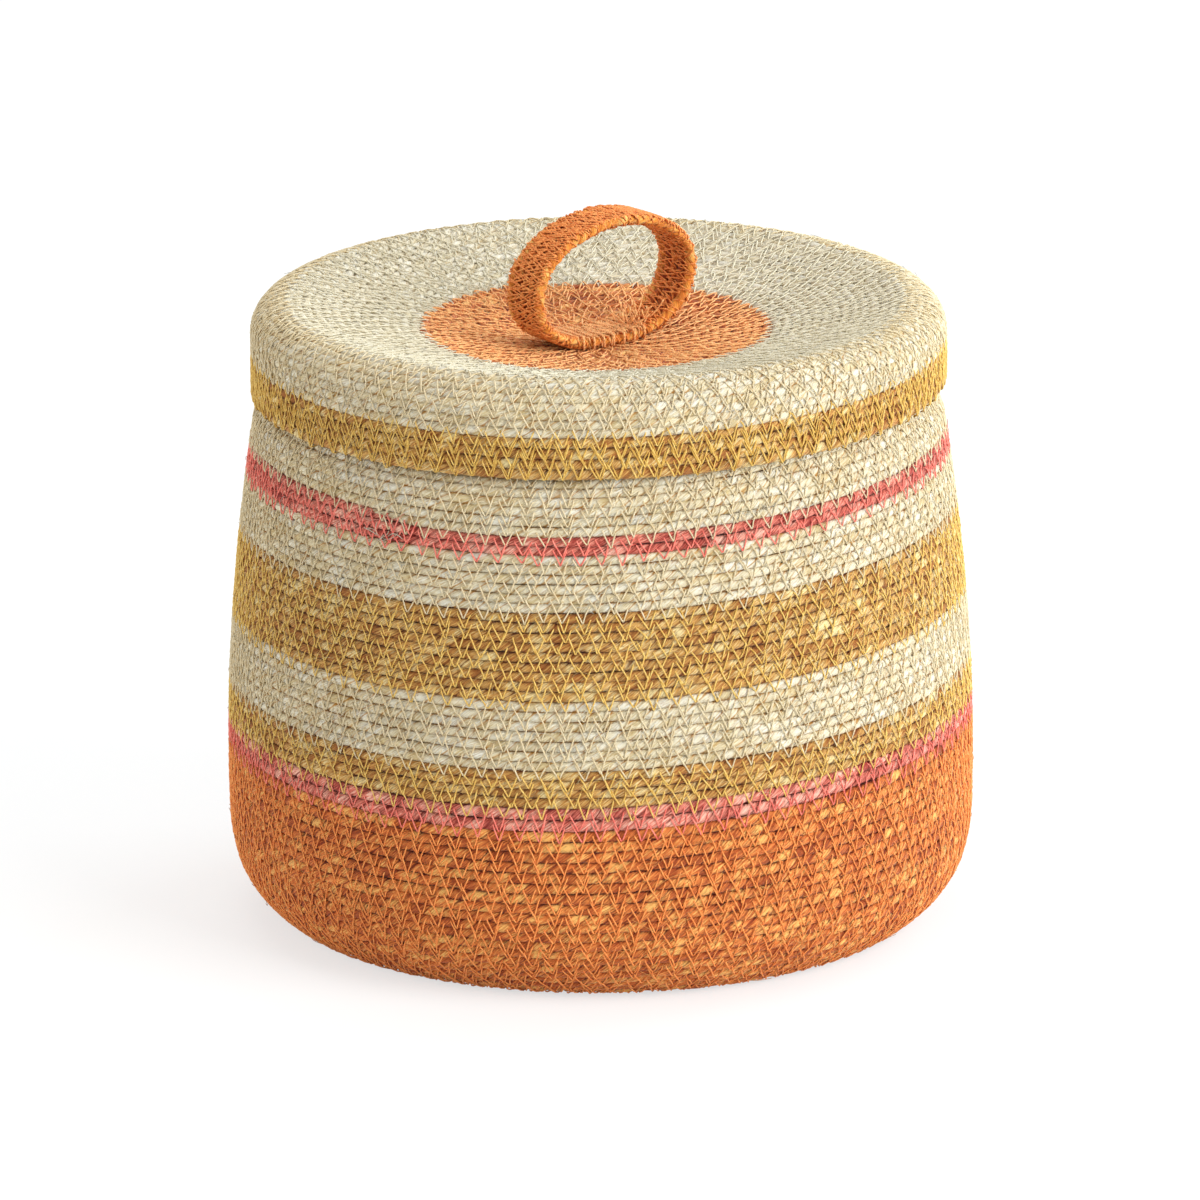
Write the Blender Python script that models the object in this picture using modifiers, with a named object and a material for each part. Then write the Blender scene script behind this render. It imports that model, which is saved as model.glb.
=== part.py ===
"""Lidded basket of coiled, machine-sewn rope, with a strap handle on its lid.

Metres, +Z up. The basket stands on z = 0 with its axis on Z, and the handle's
ring lies along X. The rope is laid in courses: a flat coil for the base, then
dyed lengths up the wall, and the same again for the lid. Each dyed length is
one solid, and each course shows as one rib on its outside.
"""
import math

import bpy
import numpy as np

MM = 0.001

# The rope and how it is sewn, in millimetres
ROPE = 4.0                  # thickness of a sewn course, so of every wall
RIB_DEPTH = 1.1             # groove between two courses, below their crests
GAP = 0.3                   # clearance between two pieces that touch
AROUND = 32                 # flats around a turned piece
INNER_BEND = 9.0            # degrees of bend to one flat on the plain inner side
FINE_STEPS = 400            # steps in which an outline's curve is measured

# The wall's outside, on the crests of the courses
FOOT_RADIUS = 127.0
BELLY_RADIUS = 150.6
BELLY_HEIGHT = 72.0
HEEL_POWER = 5.0            # how tightly the wall turns up from the foot
SHOULDER_RADIUS = 138.9     # where the wall starts to tuck in under the lid
TAPER_POWER = 1.75          # how evenly it narrows from belly to shoulder
NECK_TUCK = 9.0             # height over which it tucks in
NECK_LENGTH = 33.0          # the neck above its tuck, hidden by the skirt
NECK_TAPER = 3.2            # what the neck still narrows by, up to its rim
NECK_CLEARANCE = 0.9        # from the neck to the skirt's inside

# Heights of the wall's dyed lengths
ORANGE_HEIGHT = 76.3
LOWER_PINK_HEIGHT = 9.5
LOWER_MUSTARD_HEIGHT = 14.3
LOWER_NATURAL_HEIGHT = 27.5
UPPER_MUSTARD_HEIGHT = 34.6
MIDDLE_NATURAL_HEIGHT = 22.1
UPPER_PINK_HEIGHT = 7.3
RIM_HEIGHT = 56.4

# The same lengths, from the foot up: name, courses, height, finish
WALL_BANDS = (
    ("wall_orange", 20, ORANGE_HEIGHT, "orange"),
    ("wall_pink_lower", 2, LOWER_PINK_HEIGHT, "pink"),
    ("wall_mustard_lower", 4, LOWER_MUSTARD_HEIGHT, "mustard"),
    ("wall_natural_lower", 7, LOWER_NATURAL_HEIGHT, "natural"),
    ("wall_mustard_upper", 9, UPPER_MUSTARD_HEIGHT, "mustard"),
    ("wall_natural_middle", 6, MIDDLE_NATURAL_HEIGHT, "natural"),
    ("wall_pink_upper", 2, UPPER_PINK_HEIGHT, "pink"),
    ("wall_natural_rim", 15, RIM_HEIGHT, "natural"),
)

# The lid's outside, on the crests of the courses
LID_OVERHANG = 0.8          # from the wall, where it tucks in, out to the skirt
LID_RADIUS = SHOULDER_RADIUS + LID_OVERHANG
SKIRT_HEIGHT = 26.3         # straight part of the skirt, below the lid's shoulder
SHOULDER_ACROSS = 14.2      # the shoulder's round, measured across
SHOULDER_UP = 12.6          # the same round, measured up
DISH_DEPTH = 18.0           # from the shoulder's inner end down to the lid's centre
DISH_POWER = 1.8            # how flat the middle of the dish is
STRIPE_HEIGHT = 17.0        # mustard stripe on the skirt
DISC_RADIUS = 70.6          # orange centre
STRIPE_COURSE_COUNT = 4
SHOULDER_COURSE_COUNT = 8
DISH_COURSE_COUNT = 14
DISC_COURSE_COUNT = 17

# The handle: rope courses sewn side by side into a strap, closed to a ring
HANDLE_LENGTH = 78.6        # outside of the ring, along X
HANDLE_HEIGHT = 53.2        # outside of the ring, foot to top
HANDLE_LEAN = 0.12          # how far the ring leans along X, for each unit of height
CROWN_POWER = 2.0           # superellipse power of the ring's upper half
FOOT_POWER = 2.4            # and of its lower half, which lies flatter
RING_POINTS = 30
STRAP_COURSE_COUNT = 5
STRAP_PITCH = 4.5
STRAP_THICKNESS = 3.8
STRAP_GROOVE = 0.5          # groove between two of its courses
STRAP_EDGE = 0.55           # corner cut off the outermost courses

# The stitches that hold the handle's foot down on the disc
STITCHES = 7
STITCH_SPACING = 5.0
STITCH_THICKNESS = 1.1
STITCH_BEND = 1.0           # radius at which a stitch turns over the strap's edge

# Finish: base colour (linear), roughness
FINISHES = {
    "natural": ((0.68, 0.61, 0.44), 0.75),
    "mustard": ((0.55, 0.30, 0.085), 0.72),
    "pink": ((0.66, 0.19, 0.15), 0.75),
    "orange": ((0.62, 0.21, 0.075), 0.75),
    "handle": ((0.60, 0.16, 0.045), 0.70),
    "thread": ((0.78, 0.30, 0.09), 0.65),
}


def clear_scene():
    """Remove what the new file holds."""
    for obj in list(bpy.data.objects):
        bpy.data.objects.remove(obj, do_unlink=True)


def make_collection(name):
    """Return a new collection, linked to the scene."""
    collection = bpy.data.collections.new(name)
    bpy.context.scene.collection.children.link(collection)
    return collection


def make_material(name, colour, roughness):
    """Return a material of one colour."""
    material = bpy.data.materials.new(name)
    material.use_nodes = True
    shader = material.node_tree.nodes["Principled BSDF"]
    shader.inputs["Base Color"].default_value = (*colour, 1.0)
    shader.inputs["Roughness"].default_value = roughness
    shader.inputs["Metallic"].default_value = 0.0
    material.diffuse_color = (*colour, 1.0)
    return material


class Outline:
    """A fine line of (across, up) points, read by the distance along it."""

    def __init__(self, points):
        self.points = np.array(points)
        steps = np.diff(self.points, axis=0)
        self.spans = np.hypot(steps[:, 0], steps[:, 1])
        self.lengths = np.concatenate(([0.0], np.cumsum(self.spans)))
        self.directions = steps / self.spans[:, None]

    def bend(self, start, end):
        """Return how many degrees the line turns, to either side, between two distances."""
        inside = (self.lengths[:-1] >= start) & (self.lengths[1:] <= end)
        angles = np.unwrap(np.arctan2(self.directions[inside, 1], self.directions[inside, 0]))
        return float(np.degrees(np.abs(np.diff(angles)).sum()))

    @property
    def end(self):
        """The line's whole length."""
        return float(self.lengths[-1])

    def at(self, distance, depth=0.0):
        """Return the point at a distance, moved depth to the left of the line's course."""
        index = int(np.clip(np.searchsorted(self.lengths, distance) - 1, 0, len(self.spans) - 1))
        across, up = self.directions[index]
        x, z = self.points[index] + (distance - self.lengths[index]) * self.directions[index]
        return float(x - up * depth), float(z + across * depth)

    def at_height(self, height):
        """Return the distance at a height, on a line that only rises."""
        return float(np.interp(height, self.points[:, 1], self.lengths))

    def at_radius(self, radius):
        """Return the distance at a radius, on a line that runs inwards."""
        return float(np.interp(radius, self.points[::-1, 0], self.lengths[::-1]))


def wall_outline(rim_height, neck_radius):
    """Return the wall's outer line, from the foot to the rim."""
    tuck_start = rim_height - NECK_LENGTH - NECK_TUCK
    neck_start = rim_height - NECK_LENGTH
    points = []
    for height in np.linspace(0.0, rim_height, FINE_STEPS + 1):
        if height <= BELLY_HEIGHT:
            below = 1.0 - height / BELLY_HEIGHT
            radius = BELLY_RADIUS - (BELLY_RADIUS - FOOT_RADIUS) * below ** HEEL_POWER
        else:
            above = (height - BELLY_HEIGHT) / (tuck_start - BELLY_HEIGHT)
            radius = BELLY_RADIUS - (BELLY_RADIUS - SHOULDER_RADIUS) * above ** TAPER_POWER
        neck = neck_radius - NECK_TAPER * (height - neck_start) / NECK_LENGTH
        share = float(np.clip((height - tuck_start) / NECK_TUCK, 0.0, 1.0))
        share = share * share * (3.0 - 2.0 * share)
        points.append((radius + (neck - radius) * share, height))
    return Outline(points)


def lid_outline(skirt_bottom):
    """Return the lid's outer line, from the skirt's lower edge over the shoulder to the axis."""
    shoulder_base = skirt_bottom + SKIRT_HEIGHT
    crest_radius = LID_RADIUS - SHOULDER_ACROSS
    dish_slope = DISH_POWER * DISH_DEPTH / crest_radius
    last_turn = 0.5 * math.pi + math.atan(dish_slope * SHOULDER_ACROSS / SHOULDER_UP)
    points = [(LID_RADIUS, skirt_bottom)]
    for turn in np.linspace(0.0, last_turn, FINE_STEPS):
        points.append((crest_radius + SHOULDER_ACROSS * math.cos(turn),
                       shoulder_base + SHOULDER_UP * math.sin(turn)))
    dish_radius, dish_edge = points[-1]
    for share in np.linspace(1.0, 0.0, FINE_STEPS)[1:]:
        points.append((dish_radius * share, dish_edge - DISH_DEPTH * (1.0 - share ** DISH_POWER)))
    return Outline(points)


def lid_rings(lid):
    """Return the lid's rings: name, start and end along its outline, courses, finish."""
    crest = lid.at_radius(LID_RADIUS - SHOULDER_ACROSS)
    disc_edge = lid.at_radius(DISC_RADIUS)
    return (
        ("lid_skirt_mustard", 0.0, STRIPE_HEIGHT, STRIPE_COURSE_COUNT, "mustard"),
        ("lid_shoulder_natural", STRIPE_HEIGHT, crest, SHOULDER_COURSE_COUNT, "natural"),
        ("lid_dish_natural", crest, disc_edge, DISH_COURSE_COUNT, "natural"),
    )


def seat_lid(wall, rim_course):
    """Return the height of the skirt's lower edge, with the lid resting on the rim."""
    trial = lid_outline(0.0)
    inside = []
    for _, start, end, _, _ in lid_rings(trial):
        inside += inner_points(trial, start, end)
    across, up = np.array(inside[::-1]).T
    rim = [wall.at(wall.end, RIB_DEPTH), wall.at(wall.end, ROPE), wall.at(wall.end - 0.5 * rim_course)]
    return max(height - float(np.interp(radius, across, up)) for radius, height in rim) + GAP


def course_points(outline, start, end, rows):
    """Return the ribbed outer points of a band, from start to end along the line."""
    pitch = (end - start) / rows
    points = [outline.at(start + 0.5 * GAP, RIB_DEPTH)]
    for row in range(rows):
        if row:
            points.append(outline.at(start + pitch * row, RIB_DEPTH))
        points.append(outline.at(start + pitch * (row + 0.5)))
    points.append(outline.at(end - 0.5 * GAP, RIB_DEPTH))
    return points


def inner_points(outline, start, end):
    """Return the plain inner points of a band, from start to end along the line."""
    flats = max(1, math.ceil(outline.bend(start, end) / INNER_BEND))
    distances = np.linspace(start + 0.5 * GAP, end - 0.5 * GAP, flats + 1)
    return [outline.at(distance, ROPE) for distance in distances]


def turn_profile(name, points, closed, material, collection):
    """Return a profile turned about Z, given down its outside and up its inside."""
    mesh = bpy.data.meshes.new(name)
    vertices = [(radius * MM, 0.0, height * MM) for radius, height in points]
    edges = [(index, index + 1) for index in range(len(points) - 1)]
    if closed:
        edges.append((len(points) - 1, 0))
    mesh.from_pydata(vertices, edges, [])
    mesh.materials.append(material)
    obj = bpy.data.objects.new(name, mesh)
    collection.objects.link(obj)
    screw = obj.modifiers.new("turn", "SCREW")
    screw.axis = "Z"
    screw.angle = math.tau
    screw.steps = AROUND
    screw.render_steps = AROUND
    screw.use_merge_vertices = True
    screw.merge_threshold = 1e-5
    screw.use_smooth_shade = True
    return obj


def turn_band(name, outline, start, end, rows, material, collection):
    """Return a ring of sewn courses between two distances along an outline."""
    outer = course_points(outline, start, end, rows)
    inner = inner_points(outline, start, end)
    return turn_profile(name, outer[::-1] + inner, True, material, collection)


def make_base(wall, material, collection):
    """Return the flat coil of the base, whose edge follows the wall's first course."""
    (outer, low), (inner, high) = wall.at(0.0), wall.at(0.0, ROPE)
    lean = (outer - inner) / (high - low)
    edge = FOOT_RADIUS - GAP
    points = [(0.0, ROPE), (edge - lean * ROPE, ROPE), (edge, 0.0), (0.0, 0.0)]
    turn_profile("base_coil", points, False, material, collection)


def make_wall(wall, materials, collection):
    """Make the wall's dyed lengths, from the foot up."""
    height = 0.0
    for name, rows, rise, finish in WALL_BANDS:
        start, end = wall.at_height(height), wall.at_height(height + rise)
        turn_band(name, wall, start, end, rows, materials[finish], collection)
        height += rise


def make_lid(lid, materials, collection):
    """Make the lid's dyed lengths, from the skirt's edge to the orange centre."""
    for name, start, end, rows, finish in lid_rings(lid):
        turn_band(name, lid, start, end, rows, materials[finish], collection)
    disc_edge = lid.at_radius(DISC_RADIUS)
    _, centre = lid.at(lid.end)
    outer = course_points(lid, disc_edge, lid.end, DISC_COURSE_COUNT)[:-1] + [(0.0, centre)]
    inner = inner_points(lid, disc_edge, lid.end)[:-1] + [(0.0, centre - ROPE)]
    turn_profile("lid_centre_orange", outer[::-1] + inner, False, materials["orange"], collection)


def ring_outline(inset):
    """Return the handle's ring about its middle, inset from its outside: a leaning superellipse."""
    points = []
    for turn in np.linspace(0.0, math.tau, 4 * FINE_STEPS + 1):
        cosine, sine = math.cos(turn), math.sin(turn)
        power = 2.0 / (CROWN_POWER if sine >= 0.0 else FOOT_POWER)
        across = (0.5 * HANDLE_LENGTH - inset) * math.copysign(abs(cosine) ** power, cosine)
        up = (0.5 * HANDLE_HEIGHT - inset) * math.copysign(abs(sine) ** power, sine)
        points.append((across + HANDLE_LEAN * up, up))
    return Outline(points)


def strap_section():
    """Return the strap's section: courses side by side, ribbed on both faces."""
    half_width = 0.5 * STRAP_COURSE_COUNT * STRAP_PITCH
    crest = 0.5 * STRAP_THICKNESS
    face = [(-half_width + STRAP_EDGE, crest - STRAP_GROOVE)]
    for row in range(STRAP_COURSE_COUNT):
        if row:
            face.append((-half_width + STRAP_PITCH * row, crest - STRAP_GROOVE))
        face.append((-half_width + STRAP_PITCH * (row + 0.5), crest))
    face.append((half_width - STRAP_EDGE, crest - STRAP_GROOVE))
    back = [(across, -up) for across, up in reversed(face)]
    return face + [(half_width, 0.0)] + back + [(-half_width, 0.0)]


def add_spline(curve, points, cyclic):
    """Add a poly spline through points in millimetres to a curve."""
    spline = curve.splines.new("POLY")
    spline.points.add(len(points) - 1)
    for spot, (x, y, z) in zip(spline.points, points):
        spot.co = (x * MM, y * MM, z * MM, 1.0)
    spline.use_cyclic_u = cyclic


def make_handle(foot_height, material, collection, guides):
    """Make the strap handle, a closed ring that stands on its foot."""
    section = bpy.data.curves.new("strap_section", "CURVE")
    section.dimensions = "2D"
    add_spline(section, [(across, up, 0.0) for across, up in strap_section()], True)
    guide = bpy.data.objects.new("strap_section", section)
    guide.hide_render = True
    guide.display_type = "WIRE"
    guides.objects.link(guide)
    ring = ring_outline(0.5 * STRAP_THICKNESS)
    middle = foot_height + 0.5 * HANDLE_HEIGHT
    spots = [ring.at(ring.end * index / RING_POINTS) for index in range(RING_POINTS)]
    curve = bpy.data.curves.new("handle_strap", "CURVE")
    curve.dimensions = "3D"
    curve.twist_mode = "MINIMUM"
    curve.bevel_mode = "OBJECT"
    curve.bevel_object = guide
    add_spline(curve, [(across, 0.0, middle + up) for across, up in spots], True)
    curve.materials.append(material)
    collection.objects.link(bpy.data.objects.new("handle_strap", curve))


def stitch_path(x, strap_top, dish_height):
    """Return the path of one stitch over the strap's foot, down to the disc at both sides."""
    half_span = 0.5 * (STRAP_COURSE_COUNT * STRAP_PITCH + STITCH_THICKNESS) + GAP
    over = strap_top + 0.5 * STITCH_THICKNESS + GAP
    foot = dish_height(math.hypot(x, half_span)) + GAP
    side = [(half_span, foot), (half_span, over - STITCH_BEND)]
    for turn in (0.25 * math.pi, 0.5 * math.pi):
        side.append((half_span - STITCH_BEND * (1.0 - math.cos(turn)),
                     over - STITCH_BEND * (1.0 - math.sin(turn))))
    return [(x, -y, z) for y, z in side] + [(x, y, z) for y, z in reversed(side)]


def make_stitches(foot_height, dish_height, material, collection):
    """Make the row of stitches that holds the handle's foot on the disc."""
    inside = ring_outline(STRAP_THICKNESS).points
    lower = inside[inside[:, 1] < 0.0]
    lower = lower[np.argsort(lower[:, 0])]
    middle = foot_height + 0.5 * HANDLE_HEIGHT
    lowest = float(lower[np.argmin(lower[:, 1]), 0])
    for index in range(STITCHES):
        x = lowest + STITCH_SPACING * (index - 0.5 * (STITCHES - 1))
        near = [x - 0.5 * STITCH_THICKNESS, x, x + 0.5 * STITCH_THICKNESS]
        strap_top = middle + float(np.interp(near, lower[:, 0], lower[:, 1]).max())
        name = f"handle_stitch_{index + 1}"
        curve = bpy.data.curves.new(name, "CURVE")
        curve.dimensions = "3D"
        curve.bevel_depth = 0.5 * STITCH_THICKNESS * MM
        curve.bevel_resolution = 1
        curve.use_fill_caps = True
        curve.materials.append(material)
        add_spline(curve, stitch_path(x, strap_top, dish_height), False)
        collection.objects.link(bpy.data.objects.new(name, curve))


def build():
    """Build the basket, its lid and the handle."""
    clear_scene()
    basket = make_collection("basket_box")
    guides = make_collection("guides")
    materials = {name: make_material(name, *finish) for name, finish in FINISHES.items()}
    basket_height = sum(rise for _, _, rise, _ in WALL_BANDS)
    wall = wall_outline(basket_height, LID_RADIUS - ROPE - NECK_CLEARANCE)
    make_base(wall, materials["orange"], basket)
    make_wall(wall, materials, basket)
    _, rim_rows, rim_band, _ = WALL_BANDS[-1]
    lid = lid_outline(seat_lid(wall, rim_band / rim_rows))
    make_lid(lid, materials, basket)

    def dish_height(radius):
        return lid.at(lid.at_radius(radius))[1]

    foot_height = dish_height(0.5 * STRAP_COURSE_COUNT * STRAP_PITCH) + GAP
    make_handle(foot_height, materials["handle"], basket, guides)
    make_stitches(foot_height, dish_height, materials["thread"], basket)


build()
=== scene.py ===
"""Looks of a lidded basket of coiled, machine-sewn seagrass rope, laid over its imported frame.

The frame's solids are turned rings with one rib for each course of rope. Here every dyed length
is laid again as a real two-ply cord that climbs in one spiral along those ribs, and every joint
between two courses is sewn with its own zigzag thread. Lengths are in millimetres until a mesh
is made, and +Z is up. Bearings are in degrees about the basket's axis, from +X towards +Y.
"""
import logging
import math
from collections.abc import Callable, Sequence
from dataclasses import dataclass, field
from enum import Enum

import bpy
import numpy as np
from mathutils import Matrix, Vector


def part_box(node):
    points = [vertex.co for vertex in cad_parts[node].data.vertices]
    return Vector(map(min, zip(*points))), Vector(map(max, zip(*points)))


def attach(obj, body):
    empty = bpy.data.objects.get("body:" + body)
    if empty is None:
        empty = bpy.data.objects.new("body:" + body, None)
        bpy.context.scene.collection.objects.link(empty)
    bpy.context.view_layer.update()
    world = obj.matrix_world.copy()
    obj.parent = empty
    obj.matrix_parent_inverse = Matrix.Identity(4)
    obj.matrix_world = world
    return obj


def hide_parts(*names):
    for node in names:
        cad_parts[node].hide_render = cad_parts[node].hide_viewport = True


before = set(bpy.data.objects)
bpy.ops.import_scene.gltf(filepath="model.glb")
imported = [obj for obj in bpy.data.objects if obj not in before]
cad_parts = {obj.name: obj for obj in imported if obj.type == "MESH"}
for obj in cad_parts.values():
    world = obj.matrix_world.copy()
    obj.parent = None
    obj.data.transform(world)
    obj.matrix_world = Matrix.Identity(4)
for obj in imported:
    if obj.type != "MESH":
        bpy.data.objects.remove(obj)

MM = 0.001
PIECE_TRIANGLES = 185000
MAKER_SEED = 1907
CUT_TOLERANCE = 0.02

Colour = tuple[int, int, int]
Spots = tuple[np.ndarray, np.ndarray, np.ndarray]
Placer = Callable[[np.ndarray, np.ndarray, np.ndarray], Spots]
Tube = tuple[np.ndarray, dict[str, np.ndarray]]
log = logging.getLogger("basket")


def linear(colour: Colour) -> tuple[float, float, float, float]:
    """Return an sRGB colour as the linear values that a shader takes.

    Args:
        colour: Red, green and blue, each 0 to 255.

    Returns:
        Linear red, green and blue, and an alpha of 1.
    """
    values = []
    for channel in colour:
        share = channel / 255.0
        values.append(share / 12.92 if share <= 0.04045 else ((share + 0.055) / 1.055) ** 2.4)
    return (*values, 1.0)


def wander(rng: np.random.Generator, distance: np.ndarray, spacing: float,
           amount: float) -> np.ndarray:
    """Return smooth, even noise along a length.

    Args:
        rng: Source of the random values.
        distance: Where the noise is read, never below zero.
        spacing: Distance between two random values.
        amount: Standard deviation of the values.

    Returns:
        One value for each distance.
    """
    place = np.asarray(distance) / spacing
    values = rng.normal(0.0, amount, int(place.max()) + 2)
    index = place.astype(int)
    share = place - index
    share = share * share * (3.0 - 2.0 * share)
    return values[index] * (1.0 - share) + values[index + 1] * share


@dataclass(frozen=True)
class Unevenness:
    """A smooth random change along a cord: its scale in millimetres and its spread."""

    spacing: float
    amount: float

    def along(self, rng: np.random.Generator, spots: np.ndarray) -> np.ndarray:
        """Return the change at spots along the cord."""
        return wander(rng, spots, self.spacing, self.amount)


def unit(vectors: np.ndarray) -> np.ndarray:
    """Return vectors scaled to a length of one, along their last axis."""
    return vectors / np.maximum(np.linalg.norm(vectors, axis=-1, keepdims=True), 1e-9)


class Sewing(Enum):
    """Which neighbour a turn of rope is sewn to, as a step in courses to the joint."""

    TO_COURSE_BEFORE = -0.5
    TO_COURSE_AFTER = 0.5


class Face(Enum):
    """The side of the sewn rope on which a thread lies."""

    OUTER = "outer"
    INNER = "inner"


class TubeMesh:
    """Closed tubes with the same number of points in every ring, gathered into one mesh."""

    def __init__(self) -> None:
        """Start with no tube."""
        self.points: list[np.ndarray] = []
        self.quads: list[np.ndarray] = []
        self.caps: list[np.ndarray] = []
        self.attributes: dict[str, list[np.ndarray]] = {}
        self.count = 0

    def add(self, rings: np.ndarray, attributes: dict[str, np.ndarray],
            cyclic: bool = False) -> None:
        """Add one tube.

        Args:
            rings: Points in millimetres, as rings by sides by three. A ring turns backwards
                about the direction in which the rings follow each other.
            attributes: Vectors for each point, in the same shape, by name.
            cyclic: Whether the last ring joins the first.
        """
        ring_count, sides, _ = rings.shape
        index = np.arange(ring_count * sides).reshape(ring_count, sides) + self.count
        here = index if cyclic else index[:-1]
        after = np.roll(index, -1, axis=0) if cyclic else index[1:]
        quads = np.stack((here, after, np.roll(after, -1, axis=1), np.roll(here, -1, axis=1)), axis=-1)
        self.quads.append(quads.reshape(-1, 4))
        if not cyclic:
            self.caps.append(index[0])
            self.caps.append(index[-1][::-1])
        self.points.append(rings.reshape(-1, 3))
        for name, values in attributes.items():
            self.attributes.setdefault(name, []).append(values.reshape(-1, 3))
        self.count += ring_count * sides

    def build(self, name: str, material: bpy.types.Material) -> bpy.types.Object:
        """Return the object that holds every tube.

        Args:
            name: The piece's name.
            material: Its finish.

        Returns:
            The new object, linked to the scene.
        """
        quads = np.concatenate(self.quads)
        corners = [quads.ravel()] + self.caps
        sizes = np.concatenate((np.full(len(quads), 4), [len(cap) for cap in self.caps])).astype(np.int32)
        starts = np.concatenate(([0], np.cumsum(sizes)[:-1])).astype(np.int32)
        mesh = bpy.data.meshes.new(name)
        mesh.vertices.add(self.count)
        mesh.vertices.foreach_set("co", (np.concatenate(self.points) * MM).astype(np.float32).ravel())
        mesh.loops.add(int(sizes.sum()))
        mesh.loops.foreach_set("vertex_index", np.concatenate(corners).astype(np.int32))
        mesh.polygons.add(len(sizes))
        mesh.polygons.foreach_set("loop_start", starts)
        mesh.update(calc_edges=True)
        mesh.validate()
        mesh.shade_smooth()
        for key, values in self.attributes.items():
            layer = mesh.attributes.new(key, "FLOAT_VECTOR", "POINT")
            layer.data.foreach_set("vector", np.concatenate(values).astype(np.float32).ravel())
        mesh.materials.append(material)
        piece = bpy.data.objects.new(name, mesh)
        bpy.context.scene.collection.objects.link(piece)
        return piece


class NodeTree:
    """A material's or a group's nodes, placed and wired with few words."""

    def __init__(self, tree: bpy.types.NodeTree) -> None:
        """Keep the tree that nodes are added to."""
        self.tree = tree

    def add(self, kind: str, inputs: dict[str | int, object] | None = None,
            **settings: object) -> bpy.types.Node:
        """Add a node.

        Args:
            kind: The node's type.
            inputs: For each socket a plain value, or the output that feeds it.
            **settings: Properties of the node.

        Returns:
            The new node.
        """
        node = self.tree.nodes.new(kind)
        for name, value in settings.items():
            setattr(node, name, value)
        for name, value in (inputs or {}).items():
            self.feed(node.inputs[name], value)
        return node

    def link(self, source: bpy.types.NodeSocket, target: bpy.types.NodeSocket) -> None:
        """Link an output to an input."""
        self.tree.links.new(source, target)

    def feed(self, target: bpy.types.NodeSocket, value: object) -> None:
        """Give an input a plain value, or link it to the output that feeds it.

        Args:
            target: The input.
            value: The plain value or the output.
        """
        if isinstance(value, bpy.types.NodeSocket):
            self.link(value, target)
        else:
            target.default_value = value

    def math(self, operation: str, first: object, second: object = 0.0) -> bpy.types.NodeSocket:
        """Return the result of a sum on two values."""
        return self.add("ShaderNodeMath", {0: first, 1: second}, operation=operation).outputs[0]

    def mix(self, share: object, first: object, second: object) -> bpy.types.NodeSocket:
        """Mix two colours.

        Args:
            share: How much of the second colour there is.
            first: The first colour, or the output that feeds it.
            second: The second one.

        Returns:
            The mixed colour's output.
        """
        node = self.add("ShaderNodeMix", {"Factor": share}, data_type="RGBA")
        self.feed(node.inputs[6], first)
        self.feed(node.inputs[7], second)
        return node.outputs[2]

    def ramp(self, value: object, low: float, high: float) -> bpy.types.NodeSocket:
        """Turn a value into a share that rises smoothly between two ends.

        Args:
            value: The output that feeds it.
            low: Where the share is 0.
            high: Where it is 1, above or below that.

        Returns:
            The share's output.
        """
        node = self.add("ShaderNodeMapRange", {"Value": value, "From Min": low, "From Max": high},
                        interpolation_type="SMOOTHSTEP")
        return node.outputs[0]

    def stretch(self, vector: object, scale: tuple[float, float, float]) -> bpy.types.NodeSocket:
        """Return a vector with each part multiplied."""
        node = self.add("ShaderNodeVectorMath", {0: vector, 1: scale}, operation="MULTIPLY")
        return node.outputs[0]


def new_group(name: str, inputs: dict[str, str], outputs: dict[str, str]) -> bpy.types.NodeTree:
    """Return a shader node group with named sockets.

    Args:
        name: The group's name.
        inputs: The socket type of each input, by name.
        outputs: The socket type of each output, by name.

    Returns:
        The group, with its input and output nodes placed.
    """
    group = bpy.data.node_groups.new(name, "ShaderNodeTree")
    for in_out, sockets in (("INPUT", inputs), ("OUTPUT", outputs)):
        for label, kind in sockets.items():
            group.interface.new_socket(label, in_out=in_out, socket_type=kind)
    group.nodes.new("NodeGroupInput").name = "in"
    group.nodes.new("NodeGroupOutput").name = "out"
    return group


def new_material(name: str) -> tuple[bpy.types.Material, NodeTree, bpy.types.Node]:
    """Start a material.

    Args:
        name: Its name.

    Returns:
        The material, its nodes, and its Principled BSDF.
    """
    material = bpy.data.materials.new(name)
    material.use_nodes = True
    return material, NodeTree(material.node_tree), material.node_tree.nodes["Principled BSDF"]


def seen_directly(nodes: NodeTree) -> bpy.types.NodeSocket:
    """Tell the backdrop as it is seen from the backdrop as it lights.

    Args:
        nodes: The material's or the world's nodes.

    Returns:
        An output of 1 where the camera, gloss or glass sees it, and of 0 elsewhere.
    """
    path = nodes.add("ShaderNodeLightPath").outputs
    other = nodes.math("MAXIMUM", path["Is Glossy Ray"], path["Is Transmission Ray"])
    return nodes.math("MAXIMUM", path["Is Camera Ray"], other)


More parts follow.
